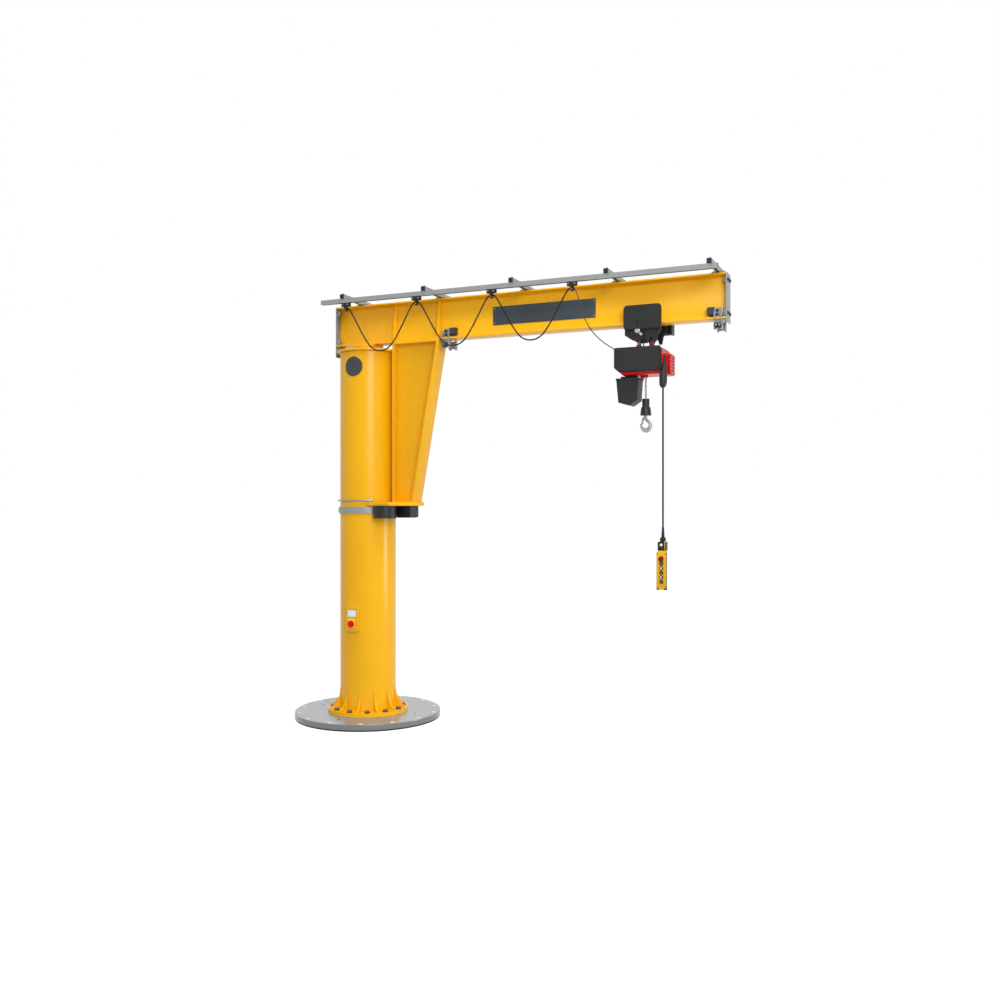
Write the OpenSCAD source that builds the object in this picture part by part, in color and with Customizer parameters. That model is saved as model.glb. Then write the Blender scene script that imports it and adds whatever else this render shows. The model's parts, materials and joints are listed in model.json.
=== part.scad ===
// Pillar-mounted jib crane with an I-section arm, electric trolley, chain hoist,
// hook, festoon power supply and hanging pendant control.
// Millimetres, +Z up. Origin: pillar axis at floor level. The arm points along +X,
// the festoon rail is on the -Y side.

/* [Base] */
// Outside diameter of the anchor plate
base_d = 1100; // [900:10:1300]
// Thickness of the anchor plate
base_t = 40; // [25:1:60]
// Thickness of the bearing pad under the plate
pad_t = 10; // [5:1:20]
// Number of anchor holes near the plate rim
anchor_n = 14; // [10:1:18]
// Distance of an anchor hole's centre from the plate's rim
anchor_edge = 35; // [28:1:60]
// Diameter of one anchor hole
anchor_hole = 36; // [24:1:42]
// Pitch circle of the four levelling-screw holes
level_pcd = 810; // [700:5:860]
// Diameter of one levelling-screw hole
level_hole = 18; // [12:1:24]

/* [Pillar] */
// Outside diameter of the pillar tube
pillar_d = 422; // [400:1:440]
// Wall of the pillar tube
pillar_wall = 10; // [8:0.5:16]
// Height of the cap's upper face above the floor
pillar_top = 2778; // [2500:1:3500]
// Diameter of the cap plate
cap_d = 466; // [450:1:500]
// Thickness of the cap plate
cap_t = 16; // [10:1:25]
// Diameter of the bolted foot flange
flange_d = 604; // [580:1:660]
// Thickness of the foot flange
flange_t = 25; // [18:1:35]
// Foot bolts and foot gussets, each evenly spaced
foot_n = 12; // [8:1:16]
// Distance of a foot bolt's centre from the flange's rim
foot_edge = 37; // [28:1:44]
// Diameter of one foot bolt's hole
foot_hole = 26; // [18:1:30]
// Height of the foot gussets above the flange
gusset_h = 155; // [100:1:220]
// Thickness of a foot gusset
gusset_t = 12; // [8:1:16]
// Diameter of the access plug
plug_d = 146; // [100:1:180]
// Distance of the access plug's centre below the pillar's top
plug_drop = 135; // [110:1:300]
// Width of the isolator's box
iso_w = 104; // [90:1:130]
// Height of the isolator's box
iso_h = 192; // [170:1:220]
// Depth of the isolator's box in front of the pillar
iso_d = 26; // [22:1:60]
// Height of the isolator's underside above the floor
iso_z0 = 666; // [400:1:1200]

/* [Slewing bearing] */
// Diameter of the top pivot pin
pivot_d = 70; // [50:1:90]
// Outside diameter of the pivot housing under the arm
pivot_boss_d = 170; // [130:1:190]
// Height of the roller track band's centre
band_z = 1570; // [1400:1:1700]
// Height of the track band
band_h = 52; // [40:1:70]
// Thickness of the track band
band_t = 6; // [4:1:10]
// Reach of the slewing stop's lug beyond the track band
lug_reach = 40; // [36:1:44]
// Height of the support plate's underside
foot_plate_z = 1604; // [1600:1:1800]
// Thickness of the support plate
foot_plate_t = 28; // [20:1:35]
// Width of the support plate
foot_plate_w = 412; // [380:1:440]
// Reach of the support plate in front of the pillar axis
foot_plate_x = 450; // [430:1:480]
// Depth of the roller housing under the support plate
housing_h = 92; // [85:1:110]
// Diameter of a guide roller
roller_d = 130; // [110:1:140]
// Angle of the guide rollers either side of the arm
roller_angle = 32.5; // [28:0.5:38]

/* [Arm] */
// Depth of the I-section
beam_h = 300; // [280:5:330]
// Flange width of the I-section
beam_w = 125; // [115:1:140]
// Web thickness
beam_web = 10.8; // [8:0.1:14]
// Flange thickness at the flange edge
flange_edge = 11.8; // [9:0.1:14]
// Gap between the cap and the arm's underside
beam_gap = 48; // [42:1:80]
// Overhang of the arm behind the pillar axis
beam_rear = 244; // [236:1:300]
// Reach of the arm in front of the pillar axis
beam_reach = 2728; // [2500:1:4000]
// Thickness of the galvanised end plates
end_plate_t = 8; // [5:1:12]
// Thickness of stiffeners and bracket plates
rib_t = 18; // [12:1:22]
// Distance of the sign's near edge from the pillar axis
sign_x = 1050; // [900:1:1200]
// Length of the sign
sign_l = 777; // [600:1:900]
// Height of the sign
sign_h = 133; // [100:1:150]
// Width of the bracket's flanges
bracket_w = 140; // [120:1:150]
// Distance of the bracket's pillar-side flange from the pillar axis
bracket_x = 250; // [245:1:300]
// Reach of the bracket at the arm
bracket_top = 640; // [560:1:640]
// Reach of the bracket at its foot
bracket_foot = 426; // [400:1:440]

/* [Festoon] */
// Distance of the rail from the arm's centre plane
rail_y = 320; // [280:1:360]
// Side of the C-rail
rail_s = 32; // [28:1:36]
// Side of a cross-arm
arm_s = 30; // [26:1:34]
// Number of cross-arms
arm_n = 5; // [3:1:7]
// Position of the first cross-arm
arm_x0 = -15; // [-60:1:30]
// Distance of the last cross-arm behind the arm's tip
arm_back = 47; // [30:1:80]
// Diameter of the festoon cable
cable_d = 10; // [8:0.5:12]

/* [Trolley and hoist] */
// Distance of the lifting axis behind the arm's tip
lift_back = 548; // [320:1:1200]
// Gap between the trolley side plates and the flange edge
plate_gap = 6; // [5:0.5:10]
// Diameter of a trolley wheel
wheel_d = 76; // [60:1:80]
// Thickness of the trolley's side plates
side_t = 9; // [6:0.5:12]
// Length of the trolley's side covers
cover_l = 257; // [252:1:280]
// Height of the trolley's side covers
cover_h = 166; // [150:1:180]
// Depth of the trolley's side covers
cover_t = 22; // [16:1:30]
// Length of the hoist's front cover
hoist_l = 323; // [300:1:340]
// Height of the hoist's front cover
hoist_h = 163; // [150:1:180]
// Depth of the hoist body from front to back
hoist_w = 216; // [190:1:240]
// Diameter of the hoist's suspension pins
pin_d = 10; // [8:0.5:14]
// Height of the hook block's upper face above the floor
block_top = 2330; // [1800:1:2440]
// Diameter of the chain wire
chain_wire = 5; // [4:0.5:6]
// Inside length of a chain link
chain_pitch = 15; // [12:0.5:18]
// Diameter of the hook's bar
hook_d = 20; // [18:0.5:20]
// Diameter of the pendant cable
pendant_cable_d = 12; // [8:0.5:14]

/* [Hidden] */
$fa = 4; $fs = 1.5;
seat = 0.3;                     // gap between pieces that rest on each other
run = 0.5;                      // running gap at pins and rollers
anchor_pcd = base_d - 2 * anchor_edge;
foot_pcd = flange_d - 2 * foot_edge;
pad_inset = 4;                  // bearing pad inside the plate's rim
plate_z = pad_t + base_t;       // upper face of the anchor plate
foot_z = plate_z + flange_t;    // upper face of the foot flange
pr = pillar_d / 2;
plug_z = pillar_top - plug_drop;
lift_x = beam_reach - lift_back;
beam_z = pillar_top + beam_gap; // underside of the arm
beam_top = beam_z + beam_h;
band_r = pr + band_t;
sign_z = beam_z + beam_h / 2 - 4;
taper = 0.14;                   // slope of the flange's inner faces
root_edge = flange_edge + taper * (beam_w - beam_web) / 2;
fp_top = foot_plate_z + foot_plate_t;
fp_len = 332;                   // support plate from front edge to rear edges
fp_corner = 150;                // length of its front corners' chamfers
fp_back = foot_plate_x - fp_len;
fp_nose = bracket_w / 2 - 8;    // half width of the support plate's front edge
fp_chamfer = foot_plate_x - fp_corner;
band_gap = 14;                  // support plate and housing clear the track band
arm_pitch = (beam_reach - arm_back - arm_x0) / (arm_n - 1);
rail_top = beam_top;
rail_z = rail_top - rail_s;
tw = beam_w / 2 + plate_gap;    // inner face of the trolley side plates
lug_l = 18;                     // length of an end plate's threaded block
block_gap = 13;                 // threaded blocks clear the beam's root fillets
wheel_w = 24;                   // tread width
wheel_x = 70;                   // wheels either side of the lifting axis
stop_in = 668;                  // rear face of the inner end stop
stop_l = 56;                    // length of an end stop
claw_t = 7;                     // plate of an end stop's claw
stop_out = beam_reach - stop_l - 20;
buffer_l = 46;
buffer_top = 72;                // height of a buffer above the beam's root
hoist_z = beam_z - 158;         // upper face of the hoist
body_h = 182;                   // height of the hoist body
hoist_z0 = hoist_z - body_h;
hoist_x0 = lift_x - 150;        // rear face of the hoist body
hoist_x1 = lift_x + 137;        // motor-side face of the hoist body
hoist_y0 = -104;                // front face of the hoist body
hoist_y1 = hoist_y0 + hoist_w;
eye_x = 45;                     // suspension links either side of the lifting axis
eye_z = beam_z - 91;            // upper pins, in the yoke's lugs
ear_z = hoist_z + 12;           // lower pins, in the hoist's ears
eye_t = 16;                     // thickness of ears and lugs
link_w = 22;                    // width of a suspension link
link_t = 6;                     // thickness of a suspension link
gland_x = hoist_x0 - 18;        // gland of the festoon cable
gland_y = -62;
gland_z = hoist_z - 16;
guide_h = 12;                   // collar of the load chain below the hoist body
slack_x = 25;                   // slack chain's spout beside the lifting axis
slack_h = 27;                   // length of that spout
socket_h = 20;                  // depth that the chain goes into collar and block
bin_gap = 16;                   // chain bin's rim below the hoist body
chain_bore = 3.3 * chain_wire + 1.5;
block_z0 = block_top - 112;     // underside of the hook block
plug_fall = 281;                // lower end of the pendant cable's plug below the hoist's top
plug_end = hoist_z - plug_fall;
pend_out = 11.3;                // pendant cable beside the hoist
pend_x = hoist_x1 + pend_out;
pend_y = -115;
drop_d = 7;                     // diameter of the festoon's last lead
clamp_x = 7;                    // fixed clamp of the festoon cable
car_lag = 413;                  // third carrier behind the lifting axis
carrier_x = [for (i = [0 : 3]) clamp_x + i * (lift_x - car_lag - clamp_x) / 3];
lead = 8;                       // straight run of a cable at its clamp or gland
rail_wall = 2;
clamp_w = 10;                   // half length of a carrier's cable clamp

yellow = [0.95, 0.70, 0.10];
zinc = [0.72, 0.73, 0.74];
black = [0.16, 0.16, 0.17];
red = [0.82, 0.08, 0.08];
rubber = [0.08, 0.08, 0.08];

// ---------- shared shapes ----------
module ring_holes(n, pcd, d, z, h, a0 = 0) {
    for (i = [0 : n - 1]) rotate([0, 0, a0 + i * 360 / n])
        translate([pcd / 2, 0, z]) cylinder(d = d, h = h);
}
module box(x0, x1, y0, y1, z0, z1) {
    translate([x0, y0, z0]) cube([x1 - x0, y1 - y0, z1 - z0]);
}
// plate lying in the X-Z plane, front face at y0, given as X-Z outline
module slab_y(pts, y0, y1) {
    translate([0, y1, 0]) rotate([90, 0, 0]) linear_extrude(y1 - y0) polygon(pts);
}
module rrect(w, h, r) {
    translate([r, 0]) square([w - 2 * r, h]);
    translate([0, r]) square([w, h - 2 * r]);
    for (x = [r, w - r], y = [r, h - r]) translate([x, y]) circle(r);
}
function unit(v) = v / norm(v);
function bend(p0, p1, p2, p3, t) = 0.5 * ((2 * p1) + (p2 - p0) * t
    + (2 * p0 - 5 * p1 + 4 * p2 - p3) * t * t + (3 * p1 - p0 - 3 * p2 + p3) * t * t * t);
function smooth(p, k) = let (n = len(p)) [for (i = [0 : n - 2], j = [0 : k - 1])
    bend(p[max(i - 1, 0)], p[i], p[i + 1], p[min(i + 2, n - 1)], j / k), p[n - 1]];
// round tube along a route that lies in a plane y = const
module cord(route, d, sides = 10) {
    n = len(route);
    ring = [for (i = [0 : n - 1])
        let (t = unit(route[min(i + 1, n - 1)] - route[max(i - 1, 0)]), u = [0, 1, 0],
            v = cross(t, u))
        for (j = [0 : sides - 1]) route[i] + d / 2 * (cos(j * 360 / sides) * u
            + sin(j * 360 / sides) * v)];
    tube_skin(ring, n, sides);
}
// closed skin over n rings of points
module tube_skin(ring, n, sides) {
    walls = [for (i = [0 : n - 2], j = [0 : sides - 1])
        let (a = i * sides + j, b = i * sides + (j + 1) % sides) [a, a + sides, b + sides, b]];
    polyhedron(ring, concat(walls, [[for (j = [0 : sides - 1]) j]],
        [[for (j = [sides - 1 : -1 : 0]) (n - 1) * sides + j]]), convexity = 8);
}

// ---------- pillar ----------
module floor_pad() color(rubber) difference() {
    cylinder(d = base_d - 2 * pad_inset, h = pad_t, $fn = 120);
    ring_holes(anchor_n, anchor_pcd, anchor_hole, -1, pad_t + 2, -90);
}
module base_plate() color(zinc) difference() {
    translate([0, 0, pad_t]) cylinder(d = base_d, h = base_t, $fn = 120);
    ring_holes(anchor_n, anchor_pcd, anchor_hole, pad_t - 1, base_t + 2, -90);
    ring_holes(4, level_pcd, level_hole, pad_t - 1, base_t + 2);
}
module gusset() {
    g0 = pr - 1; g1 = flange_d / 2 - 8; lip = 12;
    slab_y([[g0, foot_z - 1], [g1, foot_z - 1], [g1, foot_z + lip],
        for (a = [10 : 10 : 80]) [g1 - (g1 - pr - 4) * sin(a),
            foot_z + lip + (gusset_h - lip) * (1 - cos(a))],
        [pr + 4, foot_z + gusset_h], [g0, foot_z + gusset_h]], -gusset_t / 2, gusset_t / 2);
}
module pillar_foot() color(yellow) difference() {
    union() {
        translate([0, 0, plate_z]) cylinder(d = flange_d, h = flange_t, $fn = 120);
        for (i = [0 : foot_n - 1]) rotate([0, 0, (i + 0.5) * 360 / foot_n]) gusset();
    }
    translate([0, 0, plate_z - 1]) cylinder(r = pr + 0.2, h = flange_t + gusset_h + 2, $fn = 120);
    ring_holes(foot_n, foot_pcd, foot_hole, plate_z - 1, flange_t + 2);
}
module pillar_tube() color(yellow) difference() {
    translate([0, 0, plate_z]) cylinder(r = pr, h = pillar_top - cap_t - plate_z, $fn = 120);
    translate([0, 0, plate_z - 1]) cylinder(r = pr - pillar_wall, h = pillar_top, $fn = 120);
    translate([0, 0, plug_z]) rotate([90, 0, 0]) cylinder(d = plug_d - 20, h = pr + 5);
}
module pillar_cap() color(yellow) {
    translate([0, 0, pillar_top - cap_t]) cylinder(d = cap_d, h = cap_t, $fn = 120);
    translate([0, 0, pillar_top - 1]) cylinder(d = pivot_d + 40, h = 7);
    translate([0, 0, pillar_top - 1]) cylinder(d = pivot_d, h = beam_gap - 6);
}
module access_plug() color(rubber) intersection() {
    difference() {
        cylinder(r = pr + 4, h = pillar_top, $fn = 120);
        translate([0, 0, -1]) cylinder(r = pr + 0.2, h = pillar_top + 2, $fn = 120);
    }
    translate([0, 0, plug_z]) rotate([90, 0, 0]) cylinder(d = plug_d, h = pr + 20);
}
// moulded case with a raised lid, a window pocket above and a knob plate below
iso_face = pr + iso_d;
knob_z = iso_z0 + 61;
module iso_layer(inset, y, t, r) translate([-iso_w / 2 + inset, -y, iso_z0 + inset])
    rotate([90, 0, 0]) linear_extrude(t) rrect(iso_w - 2 * inset, iso_h - 2 * inset, r);
module isolator_box() color(yellow) difference() {
    union() {
        iso_layer(0, pr - 12, iso_d + 4, 12);
        iso_layer(5, pr - 12, iso_d + 12, 9);
        translate([-33, -iso_face + 1, knob_z - 34]) rotate([90, 0, 0])
            linear_extrude(4) rrect(66, 74, 5);
    }
    cylinder(r = pr + seat, h = pillar_top, $fn = 120);
    translate([-41, -iso_face + 5, knob_z + 48]) rotate([90, 0, 0]) linear_extrude(8) rrect(82, 57, 4);
    translate([0, -iso_face - 5, knob_z]) rotate([-90, 0, 0]) cylinder(d = 9, h = 16);
}
module isolator_knob() color(red) translate([0, -iso_face - 3, knob_z]) rotate([90, 0, 0]) {
    translate([0, 0, seat]) cylinder(d = 52, h = 9);
    intersection() {
        translate([-9, -24, 8]) cube([18, 48, 15]);
        cylinder(d = 51, h = 30);
    }
    translate([0, 0, -9]) cylinder(d = 8, h = 11);
}
module track_band() color(zinc) {
    difference() {
        translate([0, 0, band_z - band_h / 2]) cylinder(r = band_r, h = band_h, $fn = 120);
        translate([0, 0, band_z - band_h]) cylinder(r = pr + 0.2, h = 2 * band_h, $fn = 120);
    }
    // lug behind the pillar that stops the slewing at the roller housing
    rotate([0, 0, 180]) difference() {
        translate([0, 15, band_z]) rotate([90, 0, 0]) linear_extrude(30)
            translate([band_r - 10, -22]) rrect(lug_reach + 10, 44, 8);
        translate([0, 0, band_z - 30]) cylinder(r = band_r - 1, h = 60, $fn = 120);
    }
}
// ---------- arm ----------
module i_profile() {
    hw = beam_w / 2; ww = beam_web / 2; h = beam_h;
    half = [[hw, 0], [hw, flange_edge], [ww + 12, root_edge - 12 * taper],
        [ww + 4, root_edge + 3], [ww, root_edge + 12], [ww, h - root_edge - 12],
        [ww + 4, h - root_edge - 3], [ww + 12, h - root_edge + 12 * taper],
        [hw, h - flange_edge], [hw, h]];
    n = len(half);
    polygon(concat(half, [for (i = [n - 1 : -1 : 0]) [-half[i][0], half[i][1]]]));
}
module stiffener(x) {
    z0 = beam_z + flange_edge - 1; z1 = beam_top - flange_edge + 1;
    for (s = [-1, 1]) translate([x, 0, 0]) scale([1, s, 1])
        rotate([90, 0, 90]) linear_extrude(rib_t)
            polygon([[beam_web / 2 - 1, z0 + 4], [beam_w / 2 - 1, z0],
                [30, z1], [beam_web / 2 - 1, z1 - 4]]);
}
module jib_beam() color(yellow) difference() {
    union() {
        translate([-beam_rear, 0, beam_z]) rotate([90, 0, 90])
            linear_extrude(beam_rear + beam_reach) i_profile();
        stiffener(bracket_x);
        stiffener(bracket_top - rib_t - 4);
        box(-88, 88, -78, 78, beam_z - 15, beam_z + 2);
        translate([0, 0, pillar_top + 6 + run]) cylinder(d = pivot_boss_d, h = beam_gap - 8);
    }
    translate([0, 0, pillar_top]) cylinder(d = pivot_d + 2 * run, h = beam_gap - 2);
}
function out_x(z) = bracket_foot + (bracket_top - bracket_foot) * (z - fp_top) / (beam_z - fp_top);
module bracket() color(yellow) {
    t = rib_t; z0 = fp_top; z1 = beam_z; dx = t * 1.02;
    hw = bracket_w / 2;
    // pillar-side flange, sloping outer flange, web and top plate
    box(bracket_x, bracket_x + t, -hw, hw, z0, z1);
    slab_y([[out_x(z0) - dx, z0], [out_x(z0), z0], [out_x(z1), z1], [out_x(z1) - dx, z1]],
        -hw, hw);
    slab_y([[bracket_x + t - 1, z0], [out_x(z0) - dx + 1, z0], [out_x(z1) - dx + 1, z1],
        [bracket_x + t - 1, z1]], -5, 5);
    box(bracket_x + t - 1, out_x(z1) - dx, -hw, hw, z1 - 15, z1);
}
module foot_plate() color(yellow) translate([0, 0, foot_plate_z]) difference() {
    linear_extrude(foot_plate_t) polygon([[fp_back, -foot_plate_w / 2], [fp_chamfer, -foot_plate_w / 2],
        [foot_plate_x, -fp_nose], [foot_plate_x, fp_nose], [fp_chamfer, foot_plate_w / 2],
        [fp_back, foot_plate_w / 2]]);
    translate([0, 0, -1]) cylinder(r = band_r + band_gap, h = foot_plate_t + 2, $fn = 120);
}
roller_r = band_r + run + roller_d / 2;
module roller_spots() for (s = [-1, 1]) rotate([0, 0, s * roller_angle])
    translate([roller_r, 0, 0]) children();
hz0 = foot_plate_z - housing_h;
hz1 = foot_plate_z;
drum_r = roller_d / 2 + 21;     // housing drum round a roller
house_back = 48;                // housing behind the support plate's front edge
house_x = foot_plate_x - house_back;
house_y = fp_nose;
house_t = 4;
axle_d = 24;
roller_w = 48;                  // tread of a guide roller
module roller_housing() color(black) difference() {
    union() {
        roller_spots() translate([0, 0, hz0]) cylinder(r = drum_r, h = hz1 - hz0);
        box(bracket_x - 10, house_x, -house_y, house_y, hz0 + 6, hz1);
    }
    roller_spots() translate([0, 0, hz0 + house_t]) cylinder(r = drum_r - 6, h = hz1 - hz0 - 2 * house_t);
    box(bracket_x - 6, house_x - 6, 6 - house_y, house_y - 6, hz0 + 6 + house_t, hz1 - house_t);
    translate([0, 0, hz0 - 1]) cylinder(r = band_r + band_gap, h = hz1 - hz0 + 2, $fn = 120);
    roller_spots() translate([0, 0, hz1 - 30]) cylinder(d = axle_d + 2, h = 40);
}
module guide_rollers() color(zinc) roller_spots() {
    translate([0, 0, band_z - roller_w / 2]) cylinder(d = roller_d, h = roller_w);
    translate([0, 0, band_z]) cylinder(d = axle_d, h = foot_plate_z - band_z - seat);
}
nut_r = 11;                     // corner radius of a tie rod's nut
module tie_rod() color(zinc) translate([0, 0, fp_top + nut_r + seat]) {
    r = pr + 16;
    rotate([0, 0, 58]) rotate_extrude(angle = 244, $fn = 120) translate([r, 0]) circle(d = 12);
    for (s = [-1, 1]) rotate([0, 0, s * 55]) {
        translate([r, 0, 0]) rotate([s * 90, 0, 0]) cylinder(d = 12, h = 42, center = true);
        translate([r - 10, -6, -nut_r - seat]) cube([20, 12, 24]);
        for (y = [-12, 12]) translate([r, y, 0]) rotate([90, 0, 0])
            cylinder(r = nut_r, h = 10, center = true, $fn = 6);
    }
}
module end_plates() color(zinc) for (e = [0, 1]) {
    x = e == 0 ? -beam_rear - end_plate_t : beam_reach;
    z0 = e == 0 ? beam_z - 84 : beam_z - 20;
    box(x, x + end_plate_t, -beam_w / 2, beam_w / 2, z0, beam_top);
    // threaded blocks beside the web that take the plate's bolts
    for (s = [-1, 1], z = [beam_z + 38, beam_top - 43]) scale([1, s, 1])
        box(e == 0 ? x + end_plate_t - 1 : x - lug_l, e == 0 ? x + end_plate_t + lug_l : x + 1,
            beam_web / 2 + block_gap, beam_web / 2 + block_gap + 26, z - 18, z + 18);
}
module sign_plate() color(black)
    box(sign_x, sign_x + sign_l, -beam_web / 2 - 3, -beam_web / 2, sign_z - sign_h / 2, sign_z + sign_h / 2);
module stop_one(x) translate([x, 0, 0]) {
    w0 = beam_web / 2 + 15; edge = beam_w / 2; top = beam_z + 80; low = beam_z - 70;
    shelf = beam_z + flange_edge + taper * (edge - w0) + seat;
    for (s = [-1, 1]) scale([1, s, 1]) {
        for (c = [0, stop_l - claw_t]) translate([c, 0, 0]) rotate([90, 0, 90]) linear_extrude(claw_t)
            polygon([[w0, shelf], [w0, top], [w0 + 18, top], [edge + 11, beam_z + 16],
                [edge + 11, low], [edge - 20, low], [edge - 20, beam_z - seat],
                [edge + seat, beam_z - seat], [edge + seat, beam_z + flange_edge + seat]]);
        box(claw_t - 1, stop_l - claw_t + 1, w0 + 2, w0 + 8, shelf, top - 2);
        box(claw_t - 1, stop_l - claw_t + 1, edge - 18, edge - 12, low + 6, beam_z - 8);
    }
    // two clamp studs with nuts under the flange
    for (c = [17, stop_l - 17]) translate([c, 0, beam_z - 42]) rotate([90, 0, 0]) {
        cylinder(d = 14, h = beam_w + 44, center = true);
        for (s = [-1, 1]) translate([0, 0, s * (edge - 4)])
            cylinder(d = 26, h = 14, center = true, $fn = 6);
    }
}
module end_stops() color(zinc) { stop_one(stop_in); stop_one(stop_out); }
module buffer(x) for (s = [-1, 1]) scale([1, s, 1]) translate([x, 14, beam_z + root_edge + 8])
    rotate([90, 0, 90]) linear_extrude(buffer_l) rrect(44, buffer_top - root_edge, 7);
module stop_buffers() color(rubber) {
    buffer(stop_in + stop_l);
    buffer(stop_out - buffer_l);
}
// ---------- festoon ----------
rail_x0 = -204; rail_x1 = beam_reach + 4;
module festoon_rail() color(zinc) translate([rail_x0, -rail_y, rail_z]) rotate([90, 0, 90])
    linear_extrude(rail_x1 - rail_x0) difference() {
        translate([-rail_s / 2, 0]) square(rail_s);
        translate([-rail_s / 2 + rail_wall, rail_wall]) square(rail_s - 2 * rail_wall);
        translate([-6, -1]) square([12, 4]);
    }
module festoon_arms() color(zinc) for (i = [0 : arm_n - 1])
    translate([arm_x0 + i * arm_pitch - arm_s / 2, -rail_y - 20, beam_top + seat])
        rotate([-90, 0, 0]) linear_extrude(rail_y + 20 + beam_w / 2) difference() {
            translate([0, -arm_s]) square(arm_s);
            translate([2, -arm_s + 2]) square(arm_s - 4);
            translate([arm_s / 2 - 6, -3]) square([12, 4]);
        }
module arm_caps() color(rubber) for (i = [0 : arm_n - 1])
    translate([arm_x0 + i * arm_pitch, 0, beam_top + arm_s / 2])
        for (y = [-rail_y - 26, beam_w / 2]) translate([-arm_s / 2 - 1, y, -arm_s / 2])
            cube([arm_s + 2, 6, arm_s + 1]);
// cable carrier: rollers in the rail, hanger through its slot, clamp for the cable
module carrier(gap) {
    lip = rail_z + rail_wall;
    translate([0, -rail_y, 0]) {
        box(-33, 33, -15, 15, rail_z - 26, rail_z - gap);
        box(-24, 24, -4, 4, rail_z - 10, rail_z + 14);
        for (x = [-15, 15]) translate([x, 0, lip + seat + 9]) rotate([90, 0, 0])
            cylinder(d = 18, h = 22, center = true);
        box(-clamp_w, clamp_w, -13, 13, rail_z - 60, rail_z - 25);
    }
}
module end_clamp() color(black) translate([carrier_x[0], 0, 0]) carrier(seat);
module carrier_1() color(black) translate([carrier_x[1], 0, 0]) carrier(2);
module carrier_2() color(black) translate([carrier_x[2], 0, 0]) carrier(2);
module carrier_3() color(black) translate([carrier_x[3], 0, 0]) carrier(2);
// one loop: fractions of the span and of the sag, from clamp to clamp
loop_row = [[0, 0], [0.012, 0.008], [0.035, 0.04], [0.07, 0.11], [0.13, 0.25], [0.2, 0.43],
    [0.27, 0.61], [0.34, 0.78], [0.41, 0.92], [0.46, 0.985], [0.5, 1], [0.54, 0.985],
    [0.59, 0.92], [0.66, 0.78], [0.73, 0.61], [0.8, 0.43], [0.87, 0.25], [0.93, 0.11],
    [0.965, 0.04], [0.988, 0.008], [1, 0]];
loop_top = rail_z - 44;
loop_sag = 322;
module festoon_loop(i) {
    x0 = carrier_x[i] + clamp_w + 0.2;
    x1 = carrier_x[i + 1] - clamp_w - 0.2;
    sag = smooth([for (p = loop_row) [x0 + lead + p[0] * (x1 - x0 - 2 * lead), -rail_y,
        loop_top - loop_sag * p[1]]], 2);
    color(black) cord(concat([[x0, -rail_y, loop_top]], sag, [[x1, -rail_y, loop_top]]), cable_d);
}
module festoon_cable_1() festoon_loop(0);
module festoon_cable_2() festoon_loop(1);
module festoon_cable_3() festoon_loop(2);
// last span, from the third carrier's clamp to the gland behind the hoist cover,
// measured from the lifting axis
drop_route = [[-392, -320, 3046], [-380, -318, 3014], [-369, -312, 2975], [-356, -300, 2915],
    [-334, -278, 2840], [-296, -240, 2766], [-255, -195, 2715], [-220, -140, 2684],
    [-198, -94, 2668], [-186, -69, 2658]];
module festoon_cable_4() color(black) {
    x0 = carrier_x[3] + clamp_w + 0.2 - lift_x;
    x1 = gland_x - lift_x - 0.2;
    translate([lift_x, 0, 0]) cord(concat([[x0, -rail_y, loop_top]],
        smooth(concat([[x0 + lead, -rail_y, loop_top]], drop_route, [[x1 - lead, gland_y, gland_z]]), 3),
        [[x1, gland_y, gland_z]]), drop_d);
}

// ---------- trolley ----------
// side plate: chamfered top, three lobes on the lower edge
module side_plate() slab_y([for (p = [[-124, -72], [-70, -108], [-8, -108], [-2, -98], [8, -122],
    [14, -126], [38, -126], [50, -92], [64, -92], [76, -126], [94, -124], [104, -72], [124, -48],
    [124, 98], [100, 120], [-100, 120], [-124, 98]]) [p[0], beam_z + p[1]]], tw, tw + side_t);
// bar with one round end at height pin, its other end square at height z
module eye_lobe(r, y0, y1, pin, z) {
    box(-r, r, y0, y1, min(z, pin), max(z, pin));
    translate([0, y1, pin]) rotate([90, 0, 0]) cylinder(r = r, h = y1 - y0);
}
module eye_bores(z) for (x = [-eye_x, eye_x]) translate([x, 50, z]) rotate([90, 0, 0])
    cylinder(d = pin_d + 0.4, h = 100);
module trolley_frame() color(black) translate([lift_x, 0, 0]) difference() {
    union() {
        for (s = [-1, 1]) scale([1, s, 1]) side_plate();
        for (x = [-66, 66]) translate([x, 0, beam_z - 38]) rotate([90, 0, 0])
            cylinder(d = 28, h = 2 * tw + 2, center = true);
        // yoke on the cross bars, with a lug for each suspension link
        box(-92, 92, -26, 26, beam_z - 60, beam_z - 18);
        for (x = [-eye_x, eye_x]) translate([x, 0, 0]) eye_lobe(15, -eye_t / 2, eye_t / 2, eye_z, beam_z - 59);
    }
    eye_bores(eye_z);
}
// moulded side covers, stepped towards their rim
module cover_layer(inset, y, t) translate([inset - cover_l / 2, -y, beam_z - 40 + inset])
    rotate([90, 0, 0]) linear_extrude(t) rrect(cover_l - 2 * inset, cover_h - 2 * inset, 24 - inset);
module trolley_covers() color(black) for (s = [-1, 1]) scale([1, s, 1]) translate([lift_x, 0, 0])
    difference() {
        union() {
            cover_layer(0, tw + side_t, cover_t - 6);
            cover_layer(5, tw + side_t + cover_t - 7, 7);
        }
        for (x = [-32, 26], h = [[4, 12], [20, 6]])
            translate([x, -tw - side_t - cover_t - 1, beam_z + h[0]]) rotate([-90, 0, 0])
                cylinder(d = h[1], h = 11);
    }
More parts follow.
